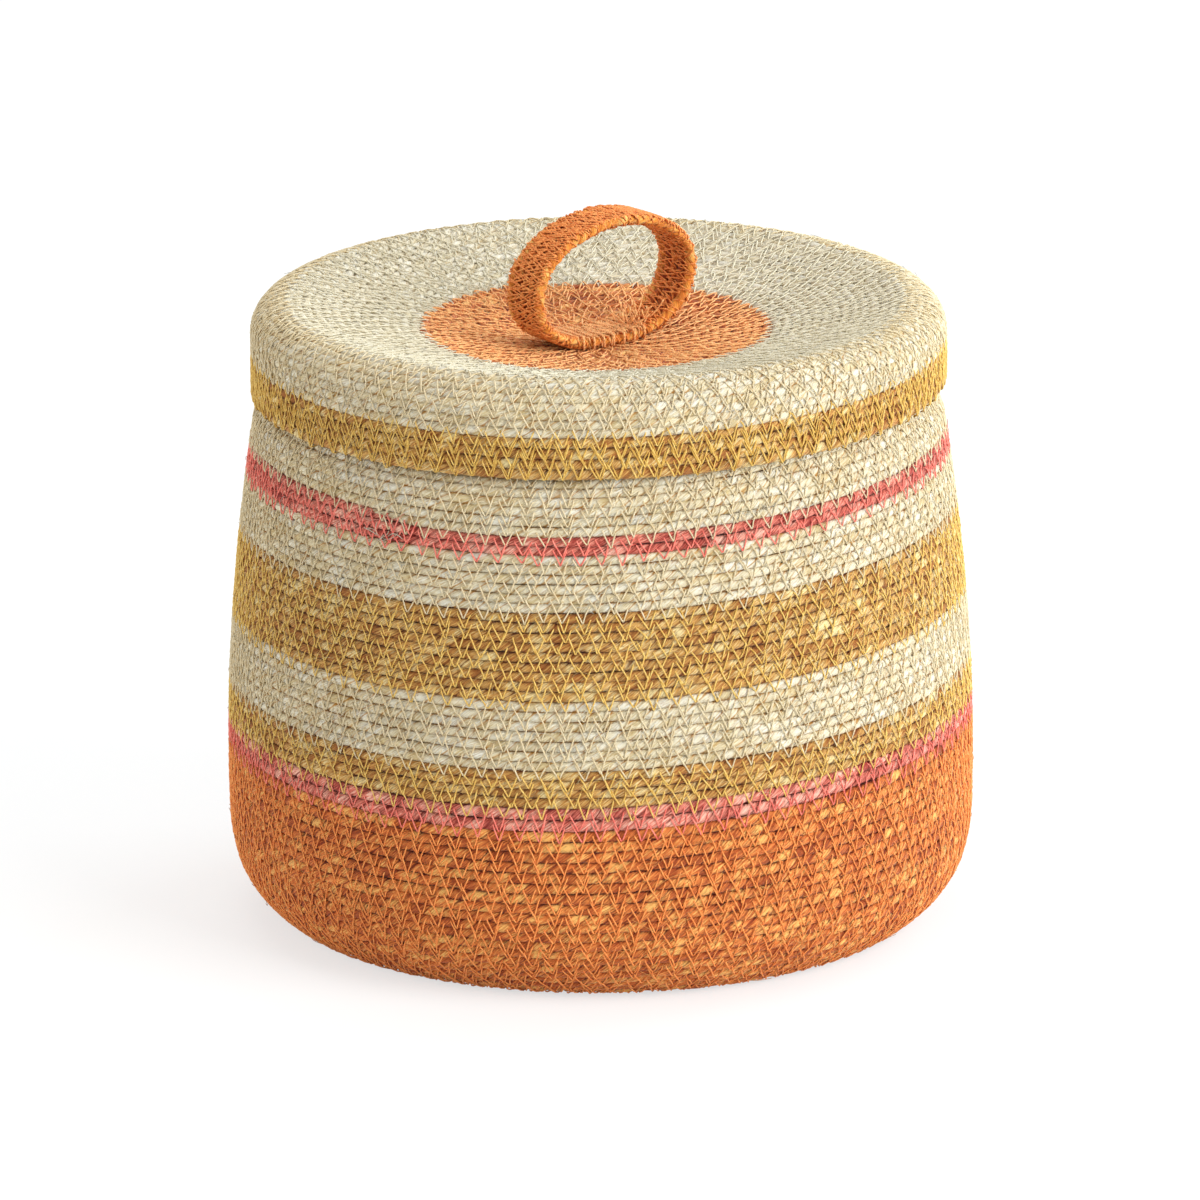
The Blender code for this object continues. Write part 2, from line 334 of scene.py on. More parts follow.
@dataclass(frozen=True)
class FibreDrawing:
    """How dry grass fibres are drawn along a strand, at the scale that each rope gives.

    A broad and a thin noise, stretched along the strand, add up to the grain. Creases run where
    a third noise is near its middle. Ends are the values between which a share rises.
    """

    broad_share: float = 0.62
    thin_share: float = 0.38
    thin_stretch: tuple[float, float, float] = (1.7, 2.9, 1.0)
    grain_ends: tuple[float, float] = (0.36, 0.64)
    fold_stretch: tuple[float, float, float] = (0.8, 0.75, 1.0)
    crease_ends: tuple[float, float] = (0.035, 0.0)
    crease_depth: float = 0.35

    def group(self) -> bpy.types.NodeTree:
        """Make the node group.

        Returns:
            A group that puts out a grain and a crease, from 0 to 1, and a height for bump.
        """
        group = new_group("seagrass_fibre",
                          {"Strand": "NodeSocketVector", "Along": "NodeSocketFloat",
                           "Across": "NodeSocketFloat"},
                          {"Grain": "NodeSocketFloat", "Crease": "NodeSocketFloat",
                           "Height": "NodeSocketFloat"})
        nodes = NodeTree(group)
        given, results = group.nodes["in"].outputs, group.nodes["out"].inputs
        parts = nodes.add("ShaderNodeSeparateXYZ", {0: given["Strand"]}).outputs
        along = nodes.math("MULTIPLY", parts[0], given["Along"])
        across = nodes.math("MULTIPLY", parts[1], given["Across"])
        place = nodes.add("ShaderNodeCombineXYZ", {0: along, 1: across, 2: parts[2]}).outputs[0]
        broad = nodes.add("ShaderNodeTexNoise",
                          {"Vector": place, "Scale": 1.0, "Detail": 2.0, "Roughness": 0.6}).outputs[0]
        thin = nodes.add("ShaderNodeTexNoise", {"Vector": nodes.stretch(place, self.thin_stretch),
                                                "Scale": 1.0, "Detail": 1.0}).outputs[0]
        both = nodes.math("ADD", nodes.math("MULTIPLY", broad, self.broad_share),
                          nodes.math("MULTIPLY", thin, self.thin_share))
        fold = nodes.add("ShaderNodeTexNoise", {"Vector": nodes.stretch(place, self.fold_stretch),
                                                "Scale": 1.0, "Detail": 1.0}).outputs[0]
        from_fold = nodes.math("ABSOLUTE", nodes.math("SUBTRACT", fold, 0.5))
        crease = nodes.ramp(from_fold, *self.crease_ends)
        height = nodes.math("SUBTRACT", both, nodes.math("MULTIPLY", crease, self.crease_depth))
        nodes.link(nodes.ramp(both, *self.grain_ends), results["Grain"])
        nodes.link(crease, results["Crease"])
        nodes.link(height, results["Height"])
        return group


@dataclass(frozen=True)
class DyeAndShadeMixing:
    """Rope's colour: darker or paler by lumps, streaks and grain, and painted shade in its grooves.

    The shade goes from dark over middle to light between the given ends. The groove's colour is
    painted shade: it covers the rope in the fibres' creases, and where the tone's third part falls
    between the ends of the groove's shade.
    """

    lump_share: float = 0.62
    streak_share: float = 0.38
    grain_share: float = 0.55
    middle_ends: tuple[float, float] = (0.12, 0.5)
    light_ends: tuple[float, float] = (0.5, 0.9)
    groove_shade_ends: tuple[float, float] = (0.62, 0.05)
    crease_shade_share: float = 0.42
    dry_roughness: float = 0.82
    grain_polish: float = 0.22

    def group(self) -> bpy.types.NodeTree:
        """Make the node group.

        Returns:
            A group that puts out a colour and a roughness.
        """
        colours = {label: "NodeSocketColor" for label in ("Dark", "Middle", "Light", "Groove Shade")}
        group = new_group("seagrass_dye_and_painted_shade",
                          {"Tone And Shade": "NodeSocketVector", "Grain": "NodeSocketFloat",
                           "Crease": "NodeSocketFloat", **colours},
                          {"Color": "NodeSocketColor", "Roughness": "NodeSocketFloat"})
        nodes = NodeTree(group)
        given, results = group.nodes["in"].outputs, group.nodes["out"].inputs
        lump, streak, depth = nodes.add("ShaderNodeSeparateXYZ", {0: given["Tone And Shade"]}).outputs
        shade = nodes.math("ADD", nodes.math("MULTIPLY", lump, self.lump_share),
                           nodes.math("MULTIPLY", streak, self.streak_share))
        grain = nodes.math("SUBTRACT", given["Grain"], 0.5)
        shade = nodes.math("ADD", shade, nodes.math("MULTIPLY", grain, self.grain_share))
        low = nodes.mix(nodes.ramp(shade, *self.middle_ends), given["Dark"], given["Middle"])
        high = nodes.mix(nodes.ramp(shade, *self.light_ends), low, given["Light"])
        # Painted shade: the groove colour covers the rope where the tone's third part (depth) is low, in the
        # gaps between plies and rows, and in the fibres' creases.
        painted_shade = nodes.math("MAXIMUM", nodes.ramp(depth, *self.groove_shade_ends),
                          nodes.math("MULTIPLY", given["Crease"], self.crease_shade_share))
        nodes.link(nodes.mix(painted_shade, high, given["Groove Shade"]), results["Color"])
        rough = nodes.math("SUBTRACT", self.dry_roughness,
                           nodes.math("MULTIPLY", given["Grain"], self.grain_polish))
        nodes.link(rough, results["Roughness"])
        return group


@dataclass(frozen=True)
class RopeFinish:
    """Dyed seagrass cord: dry, fibrous, uneven from lump to lump.

    Its fibres are drawn at so much along and across the strand, and relief is in millimetres. The
    groove colour is painted shade for the gaps between plies and rows and for the fibres' creases.
    """

    name: str
    dark: Colour
    middle: Colour
    light: Colour
    groove_shade: Colour
    along: float = 0.16
    across: float = 4.2
    bump: float = 0.8
    relief: float = 0.64
    gloss: float = 0.3
    sheen: float = 0.12
    sheen_roughness: float = 0.4

    def material(self, fibre: bpy.types.NodeTree, dye: bpy.types.NodeTree) -> bpy.types.Material:
        """Return the rope's material.

        Args:
            fibre: The group that draws fibres.
            dye: The group that colours the rope and paints shade in its grooves.

        Returns:
            A new material.
        """
        material, nodes, shader = new_material(self.name)
        strand = nodes.add("ShaderNodeAttribute", attribute_name="strand").outputs["Vector"]
        tone_and_shade = nodes.add("ShaderNodeAttribute", attribute_name="tone_and_shade").outputs["Vector"]
        grain = nodes.add("ShaderNodeGroup", node_tree=fibre)
        nodes.link(strand, grain.inputs["Strand"])
        grain.inputs["Along"].default_value = self.along
        grain.inputs["Across"].default_value = self.across
        colour = nodes.add("ShaderNodeGroup", node_tree=dye)
        nodes.link(tone_and_shade, colour.inputs["Tone And Shade"])
        nodes.link(grain.outputs["Grain"], colour.inputs["Grain"])
        nodes.link(grain.outputs["Crease"], colour.inputs["Crease"])
        for label, value in (("Dark", self.dark), ("Middle", self.middle), ("Light", self.light),
                             ("Groove Shade", self.groove_shade)):
            colour.inputs[label].default_value = linear(value)
        bump = nodes.add("ShaderNodeBump", {"Height": grain.outputs["Height"], "Strength": self.bump,
                                            "Distance": self.relief * MM})
        nodes.link(colour.outputs["Color"], shader.inputs["Base Color"])
        nodes.link(colour.outputs["Roughness"], shader.inputs["Roughness"])
        nodes.link(bump.outputs[0], shader.inputs["Normal"])
        shader.inputs["Specular IOR Level"].default_value = self.gloss
        shader.inputs["Sheen Weight"].default_value = self.sheen
        shader.inputs["Sheen Roughness"].default_value = self.sheen_roughness
        return material


@dataclass(frozen=True)
class ThreadFinish:
    """Sewing thread: thin, a little shiny, twisted, and faded in patches along its length.

    Twist is in radians for each millimetre, and relief is in millimetres.
    """

    name: str
    colour: Colour
    shade: Colour
    twist: float = 5.0
    ply_shade_share: float = 0.16
    patch_stretch: tuple[float, float, float] = (0.35, 0.0, 1.0)
    patch_ends: tuple[float, float] = (0.3, 0.7)
    bump: float = 0.5
    relief: float = 0.08
    roughness: float = 0.55
    gloss: float = 0.35

    def material(self) -> bpy.types.Material:
        """Return the thread's material.

        Returns:
            A new material.
        """
        material, nodes, shader = new_material(self.name)
        strand = nodes.add("ShaderNodeAttribute", attribute_name="strand").outputs["Vector"]
        parts = nodes.add("ShaderNodeSeparateXYZ", {0: strand}).outputs
        turn = nodes.math("ADD", nodes.math("MULTIPLY", parts[0], self.twist), parts[1])
        ply = nodes.math("SINE", turn)
        place = nodes.stretch(strand, self.patch_stretch)
        patch = nodes.add("ShaderNodeTexNoise", {"Vector": place, "Scale": 1.0, "Detail": 2.0}).outputs[0]
        # Patches fade at random; the twist adds painted shade, darker where the plies' bump is low.
        share = nodes.math("ADD", nodes.ramp(patch, *self.patch_ends),
                           nodes.math("MULTIPLY", ply, self.ply_shade_share))
        colour = nodes.mix(share, linear(self.shade), linear(self.colour))
        nodes.link(colour, shader.inputs["Base Color"])
        bump = nodes.add("ShaderNodeBump", {"Height": ply, "Strength": self.bump,
                                            "Distance": self.relief * MM})
        nodes.link(bump.outputs[0], shader.inputs["Normal"])
        shader.inputs["Roughness"].default_value = self.roughness
        shader.inputs["Specular IOR Level"].default_value = self.gloss
        return material


class Dye(Enum):
    """The colours of rope that the basket is coiled from; the two top-lit ones are paler copies of
    natural and orange, painted light for the lid's sunlit dish.
    """

    NATURAL = "natural"
    TOP_LIT_NATURAL = "pale"
    MUSTARD = "mustard"
    PINK = "pink"
    ORANGE = "orange"
    TOP_LIT_ORANGE = "top_lit_orange"


@dataclass
class Workshop:
    """Every finish of the basket, made once and shared by its pieces."""

    # Each rope's colours are dark, middle, light and the painted shade of its grooves; the top-lit natural
    # and orange are paler copies, painted light for the lid's sunlit dish.
    ropes: dict[Dye, RopeFinish] = field(default_factory=lambda: {
        Dye.NATURAL: RopeFinish("natural_rope",
                                (208, 188, 140), (227, 217, 186), (231, 228, 212), (180, 124, 42)),
        Dye.TOP_LIT_NATURAL: RopeFinish("top_lit_natural_rope", (215, 202, 168), (225, 216, 191), (227, 222, 205), (198, 175, 134)),
        Dye.MUSTARD: RopeFinish("mustard_rope", (157, 96, 42), (202, 153, 80), (234, 214, 156), (98, 40, 0)),
        Dye.PINK: RopeFinish("pink_rope", (158, 58, 48), (217, 120, 101), (246, 190, 168), (100, 16, 8)),
        Dye.ORANGE: RopeFinish("orange_rope", (163, 75, 32), (218, 122, 56), (247, 190, 106), (98, 20, 0)),
        Dye.TOP_LIT_ORANGE: RopeFinish("top_lit_orange_rope", (170, 82, 38), (215, 129, 67), (248, 192, 118), (110, 38, 8)),
    })
    threads: dict[Dye, ThreadFinish] = field(default_factory=lambda: {
        Dye.NATURAL: ThreadFinish("natural_thread", (224, 212, 181), (208, 187, 143)),
        Dye.TOP_LIT_NATURAL: ThreadFinish("top_lit_natural_thread", (221, 214, 192), (210, 200, 169)),
        Dye.MUSTARD: ThreadFinish("mustard_thread", (235, 205, 120), (210, 164, 72)),
        Dye.PINK: ThreadFinish("pink_thread", (246, 148, 130), (226, 102, 90)),
        Dye.ORANGE: ThreadFinish("orange_thread", (247, 168, 92), (226, 124, 58)),
        Dye.TOP_LIT_ORANGE: ThreadFinish("top_lit_orange_thread", (253, 203, 136), (235, 154, 94)),
    })
    strap: RopeFinish = RopeFinish("handle_rope", (152, 56, 18), (208, 106, 40), (243, 162, 80), (88, 22, 2))
    strap_edge: RopeFinish = RopeFinish("handle_edge_rope",
                                        (216, 122, 44), (242, 156, 62), (254, 204, 116), (176, 86, 26))
    strap_thread: ThreadFinish = ThreadFinish("handle_thread", (254, 174, 98), (214, 112, 46))
    second_thread: ThreadFinish = ThreadFinish("skirt_thread", (222, 184, 92), (178, 130, 48))
    rope_materials: dict[Dye, bpy.types.Material] = field(default_factory=dict)
    thread_materials: dict[Dye, bpy.types.Material] = field(default_factory=dict)
    handle_material: bpy.types.Material | None = None
    handle_thread: bpy.types.Material | None = None
    edge_material: bpy.types.Material | None = None
    skirt_thread: bpy.types.Material | None = None

    def make(self) -> None:
        """Make the node groups and every material."""
        fibre, dye = FibreDrawing().group(), DyeAndShadeMixing().group()
        self.rope_materials = {key: finish.material(fibre, dye) for key, finish in self.ropes.items()}
        self.thread_materials = {key: finish.material() for key, finish in self.threads.items()}
        self.handle_material = self.strap.material(fibre, dye)
        self.handle_thread = self.strap_thread.material()
        self.edge_material = self.strap_edge.material(fibre, dye)
        self.skirt_thread = self.second_thread.material()


def section_of(node: str) -> np.ndarray:
    """Return the section of a turned node on the +X side, in order round its outline.

    Args:
        node: The node's name.

    Returns:
        Radius and height of each corner, in millimetres.
    """
    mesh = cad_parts[node].data
    points = np.empty(len(mesh.vertices) * 3, dtype=np.float32)
    mesh.vertices.foreach_get("co", points)
    points = points.reshape(-1, 3) / MM
    edges = np.empty(len(mesh.edges) * 2, dtype=np.int32)
    mesh.edges.foreach_get("vertices", edges)
    edges = edges.reshape(-1, 2)
    cut = (np.abs(points[:, 1]) < CUT_TOLERANCE) & (points[:, 0] > -CUT_TOLERANCE)
    corners, merged = np.unique(np.round(points[:, [0, 2]], 2), axis=0, return_inverse=True)
    merged = merged.ravel()
    neighbours: dict[int, set[int]] = {}
    for first, second in edges[cut[edges].all(axis=1)]:
        one, other = int(merged[first]), int(merged[second])
        if one != other:
            neighbours.setdefault(one, set()).add(other)
            neighbours.setdefault(other, set()).add(one)
    ends = [corner for corner, linked in neighbours.items() if len(linked) == 1]
    chain = [ends[0] if ends else next(iter(neighbours))]
    left = set(neighbours) - set(chain)
    while left:
        step = sorted(neighbours[chain[-1]] & left)
        if not step:
            break
        chain.append(step[0])
        left.discard(step[0])
    return corners[chain]


def crests_of(node: str, groove_turn: float = 25.0) -> np.ndarray:
    """Return the crests of a turned node's ribs, in order.

    Args:
        node: The node's name.
        groove_turn: Degrees that the outline turns inwards at a groove, at the least.

    Returns:
        Radius and height of each crest, in millimetres.
    """
    corners = section_of(node)
    before = corners - np.roll(corners, 1, axis=0)
    after = np.roll(corners, -1, axis=0) - corners
    turn = np.degrees(np.arctan2(before[:, 0] * after[:, 1] - before[:, 1] * after[:, 0],
                                 (before * after).sum(axis=1)))
    following = np.roll(corners, -1, axis=0)
    area = (corners[:, 0] * following[:, 1] - following[:, 0] * corners[:, 1]).sum()
    count = len(corners)
    grooves = [index for index in range(count) if turn[index] * np.sign(area) < -groove_turn]
    crests = sorted({(index + step) % count for index in grooves for step in (-1, 1)})
    gaps = [(crests[place] - crests[place - 1]) % count for place in range(len(crests))]
    first = int(np.argmax(gaps))
    return corners[crests[first:] + crests[:first]]


def chain_courses(nodes: list[str], start: tuple[float, float]) -> list[np.ndarray]:
    """Return the crests of nodes that follow each other, each set in the order of laying.

    Args:
        nodes: Names of the turned nodes, in the order of laying.
        start: Radius and height that the first course is near.

    Returns:
        The crests of each node.
    """
    last = np.array(start)
    chain = []
    for node in nodes:
        crests = crests_of(node)
        if np.linalg.norm(crests[-1] - last) < np.linalg.norm(crests[0] - last):
            crests = crests[::-1]
        chain.append(crests)
        last = crests[-1]
    return chain


@dataclass
class Cord:
    """A two-ply cord: how thick it is, how it is twisted and how uneven it is.

    The lay is the length of one turn of its plies. Its outline has a notch between the plies and
    a swell over each of them. Squeeze is a row's width as a share of the pitch, and packing is
    how flat its sides are pressed by its neighbours. Lumps and tones change along each ply once
    in a share of a lay. Pale stretches are where their own change passes a limit. The painted
    shade values are for the gap between the plies and for the gap between rows.
    """

    thickness: float = 4.0
    lay: float = 17.0
    sides: int = 12
    step: float = 1.3
    notch: float = 0.75
    swell: float = 0.28
    roundness: float = 0.6
    squeeze: float = 1.14
    packing: float = 0.8
    notch_painted_shade: float = 0.8
    row_painted_shade: tuple[float, float] = (0.78, 1.0)
    beside_row: float = 0.5
    lay_change: Unevenness = Unevenness(17.0, 0.22)
    lump_lays: float = 0.4
    lump_size: float = 0.09
    tone_lays: float = 0.36
    tone_spread: float = 0.3
    pale_change: Unevenness = Unevenness(17.0, 1.0)
    pale_limit: float = 1.5
    pale_share: float = 0.8
    streak_change: Unevenness = Unevenness(26.0, 0.18)
    ridge_change: Unevenness = Unevenness(6.0, 0.03)
    out_change: Unevenness = Unevenness(12.0, 0.11)
    across_change: Unevenness = Unevenness(16.0, 0.13)
    gap_change: Unevenness = Unevenness(5.0, 0.07)
    grain_room: float = 40.0

    @property
    def ring_angles(self) -> np.ndarray:
        """Angles of a ring's points, from the middle of the first ply."""
        return np.arange(self.sides) * math.tau / self.sides

    @property
    def section(self) -> np.ndarray:
        """Radius of the two plies' outline at each of a ring's points, for a half thickness of 1."""
        return self.notch + self.swell * np.abs(np.cos(self.ring_angles)) ** self.roundness


class TwistedCord:
    """One long cord as it was twisted, with its unevenness at every ring."""

    def __init__(self, cord: Cord, length: float, rng: np.random.Generator) -> None:
        """Twist the whole cord and roughen it.

        Args:
            cord: Its make.
            length: Its length.
            rng: Source of its unevenness.
        """
        self.cord = cord
        self.spots = np.arange(0.0, length, cord.step)
        spots = self.spots
        lay = cord.lay * np.exp(cord.lay_change.along(rng, spots))
        self.twist = np.cumsum(math.tau * cord.step / lay)
        self.ply_size = [wander(rng, spots, cord.lump_lays * cord.lay, cord.lump_size) for _ in range(2)]
        self.ply_tone = [wander(rng, spots, cord.tone_lays * cord.lay, cord.tone_spread) for _ in range(2)]
        pale = np.clip(cord.pale_change.along(rng, spots) - cord.pale_limit, 0.0, 1.0)
        self.streak = cord.streak_change.along(rng, spots) + cord.pale_share * pale
        self.ridges = np.stack([cord.ridge_change.along(rng, spots) for _ in range(cord.sides)], axis=1)
        self.shift_out = cord.out_change.along(rng, spots)
        self.shift_across = cord.across_change.along(rng, spots)
        self.row_gap = cord.gap_change.along(rng, spots)
        self.grain_place = float(rng.uniform(0.0, cord.grain_room))

    def rings(self, chosen: np.ndarray, centre: np.ndarray, out: np.ndarray, across: np.ndarray,
              half: tuple[np.ndarray, np.ndarray], free_side: np.ndarray) -> Tube:
        """Return the rings of a stretch of the cord.

        Args:
            chosen: Which of the cord's rings the stretch has.
            centre: The middle of each ring.
            out: Unit vectors out of the sewn surface.
            across: Unit vectors across the courses.
            half: Half the cord's size, out and across.
            free_side: Where a ring has no row beside it: 1 across, -1 the other way, 0 nowhere.

        Returns:
            The rings and their attributes, for a TubeMesh.
        """
        cord, angles = self.cord, self.cord.ring_angles
        radius = cord.section + self.ridges[chosen]
        for sizes, weight in zip(self.ply_size, (np.cos(angles), -np.cos(angles))):
            radius = radius * (1.0 + sizes[chosen, None] * np.maximum(weight, 0.0))
        turned = self.twist[chosen, None] + angles
        packed = 1.0 - (1.0 - radius) * (1.0 - cord.packing)
        rings = (centre[:, None, :]
                 + out[:, None, :] * (half[0][:, None] * radius * np.cos(turned))[..., None]
                 + across[:, None, :] * (half[1][:, None] * packed * np.sin(turned))[..., None])
        strand = np.empty_like(rings)
        strand[..., 0] = self.spots[chosen, None]
        strand[..., 1] = np.abs((angles / math.pi + 0.5) % 2.0 - 1.0) * 2.0 - 1.0
        strand[..., 2] = self.grain_place
        first = np.clip(0.5 + np.cos(angles), 0.0, 1.0)
        tone_and_shade = np.empty_like(rings)
        tone_and_shade[..., 0] = (0.5 + self.ply_tone[0][chosen, None] * first
                        + self.ply_tone[1][chosen, None] * (1.0 - first))
        tone_and_shade[..., 1] = 0.5 + self.streak[chosen, None]
        # The tone's third part is painted shade: it drops in the notch between the plies and in the gaps
        # between rows, but not on a row's free side.
        shade_between_plies = 1.0 - np.clip((radius - cord.notch) / cord.swell, 0.0, 1.0)
        low, high = cord.row_painted_shade
        from_row = np.abs(np.sin(turned)) + self.row_gap[chosen, None] - low
        beside_row = free_side[:, None] * np.sin(turned) < cord.beside_row
        shade_between_rows = np.clip(from_row / (high - low), 0.0, 1.0) * beside_row
        tone_and_shade[..., 2] = 1.0 - np.maximum(cord.notch_painted_shade * shade_between_plies ** 2, shade_between_rows)
        return rings, {"strand": strand, "tone_and_shade": tone_and_shade}


@dataclass
class Thread:
    """Sewing thread: its size, and how a zigzag of it lies on the rope.

    Fall and climb are how far along the seam its two legs go, reach is how far across the
    joint, in courses, and sag is where the row's middle lies. On the outer face a leg comes out
    of the rope, rises, sags, rises again and goes back in at a random spot near its end. On the
    inner face it lies flat. Places on a leg are shares of it, and heights are over the rope.
    """

    radius: float = 0.3
    fall: float = 3.5
    climb: float = 2.7
    reach: float = 0.88
    sag: float = -0.12
    jitter_along: float = 0.45
    jitter_across: float = 0.12
    jitter_lift: float = 0.06
    bow: float = 0.22
    fall_shows: tuple[float, float] = (0.84, 0.97)
    climb_shows: tuple[float, float] = (0.74, 0.96)
    fall_over: float = 0.05
    climb_over: float = -0.07
    leg_out: tuple[float, ...] = (0.055, 0.2, 0.48)
    leg_back: float = 0.12
    leg_lift: tuple[float, ...] = (0.02, 0.27, 0.12, 0.27, 0.02)
    inner_leg: tuple[float, float] = (0.15, 0.85)
    inner_gap: float = 0.2
    depth: float = 1.3
    rope: float = 4.0

    def zigzag(self, place: Placer, bottoms: np.ndarray, per_mm: np.ndarray, face: Face,
               rng: np.random.Generator) -> Tube:
        """Return the rings of a row of stitches: each falls to its lower hole and climbs again.

        Args:
            place: Gives spots from a place along, a place across and a lift.
            bottoms: Where the lower holes are, along the seam.
            per_mm: What a millimetre along the seam is, at each of them.
            face: The side of the rope that the row lies on.
            rng: Source of the random slack.

        Returns:
            The rings and their attributes, for a TubeMesh.
        """
        count = len(bottoms)

        def slack(amount: float) -> np.ndarray:
            """Return one random offset for each stitch."""
            return rng.normal(0.0, amount, count)

        low = bottoms + slack(self.jitter_along) * per_mm
        low_across = self.sag - self.reach + slack(self.jitter_across)
        legs = []
        for step, shows, over in ((-self.fall, self.fall_shows, self.fall_over),
                                  (self.climb, self.climb_shows, self.climb_over)):
            top = low + (step + slack(self.jitter_along)) * per_mm
            top_across = self.sag + self.reach + slack(self.jitter_across)
            share, lift = self._leg(face, shows, over, count, rng)
            arc = (slack(self.bow) * per_mm)[:, None] * 4.0 * share * (1.0 - share)
            along = low[:, None] + (top - low)[:, None] * share + arc
            across = low_across[:, None] + (top_across - low_across)[:, None] * share
            legs.append((along, across, lift))
        falling, climbing = legs
        path = [np.concatenate((fall[:, ::-1], climb[:, 1:]), axis=1)
                for fall, climb in zip(falling, climbing)]
        points, out, _ = place(*path)
        steps = falling[0].shape[1]
        ahead = np.empty_like(points)
        ahead[:, :steps] = unit(points[:, steps - 1] - points[:, 0])[:, None]
        ahead[:, steps:] = unit(points[:, -1] - points[:, steps - 1])[:, None]
        beside = unit(np.cross(ahead, out))
        beside[:, steps - 1] = unit(beside[:, steps - 2] + beside[:, steps])
        return self.wrap(points.reshape(-1, 3), beside.reshape(-1, 3))

    def _leg(self, face: Face, shows: tuple[float, float], over: float, count: int,
             rng: np.random.Generator) -> tuple[np.ndarray, np.ndarray]:
        """Shape one leg of every stitch, from its lower hole to its upper one.

        Args:
            face: The side of the rope that the leg lies on.
            shows: The least and the most of a leg that shows.
            over: How much higher than the rest of the row it lies.
            count: How many stitches there are.
            rng: Source of the random slack.

        Returns:
            The share of the leg, and its height over the rope, at each of its points.
        """
        if face is Face.INNER:
            under = -self.rope - self.inner_gap
            return (np.tile((0.0, *self.inner_leg, 1.0), (count, 1)),
                    np.tile((-self.depth, under, under, -self.depth), (count, 1)))
        seen = rng.uniform(*shows, count)
        out = [np.full(count, share) for share in self.leg_out]
        share = np.stack((np.zeros(count), *out, seen - self.leg_back, seen, np.ones(count)), axis=1)
        lift = np.tile((-self.depth, *self.leg_lift, -self.depth), (count, 1))
        lift[:, 1:-1] += over + rng.normal(0.0, self.jitter_lift, count)[:, None]
        return share, lift

    def lie(self, points: np.ndarray, out: np.ndarray) -> Tube:
        """Return the rings of a thread along a path on a surface, where out points away from it."""
        return self.wrap(points, unit(np.cross(unit(np.gradient(points, axis=0)), out)))

    def wrap(self, points: np.ndarray, beside: np.ndarray) -> Tube:
        """Return the rings of a four-sided thread along a path.

        Args:
            points: The path.
            beside: Unit vectors square to the path, along the surface.

        Returns:
            The rings and their attributes, for a TubeMesh.
        """
        along = np.empty_like(points)
        along[1:-1] = points[2:] - points[:-2]
        along[0], along[-1] = points[1] - points[0], points[-1] - points[-2]
        over = unit(np.cross(beside, unit(along)))
        beside = unit(np.cross(unit(along), over))
        rings = np.stack((points + beside * self.radius, points + over * self.radius,
                          points - beside * self.radius, points - over * self.radius), axis=1)
        spans = np.concatenate(([0.0], np.cumsum(np.linalg.norm(np.diff(points, axis=0), axis=1))))
        strand = np.empty_like(rings)
        strand[..., 0] = spans[:, None]
        strand[..., 1] = (0.0, 0.5 * math.pi, math.pi, 0.5 * math.pi)
        strand[..., 2] = 0.0
        return rings, {"strand": strand}


@dataclass(frozen=True)
class LooseFibre:
    """How a fibre that has worked loose bends, and how it stands off the rope.

    It bends by a share of its length and starts within scatter of its place, in courses.
    """

    points: int = 8
    bend: float = 0.16
    scatter: float = 0.3
    stand_off: float = 0.25
    rise_power: float = 1.5
    wave: float = 0.25
    least_lift: float = 0.1
    root_depth: float = 0.5
    brightness: tuple[float, float] = (0.5, 1.0)
    streak: float = 0.8


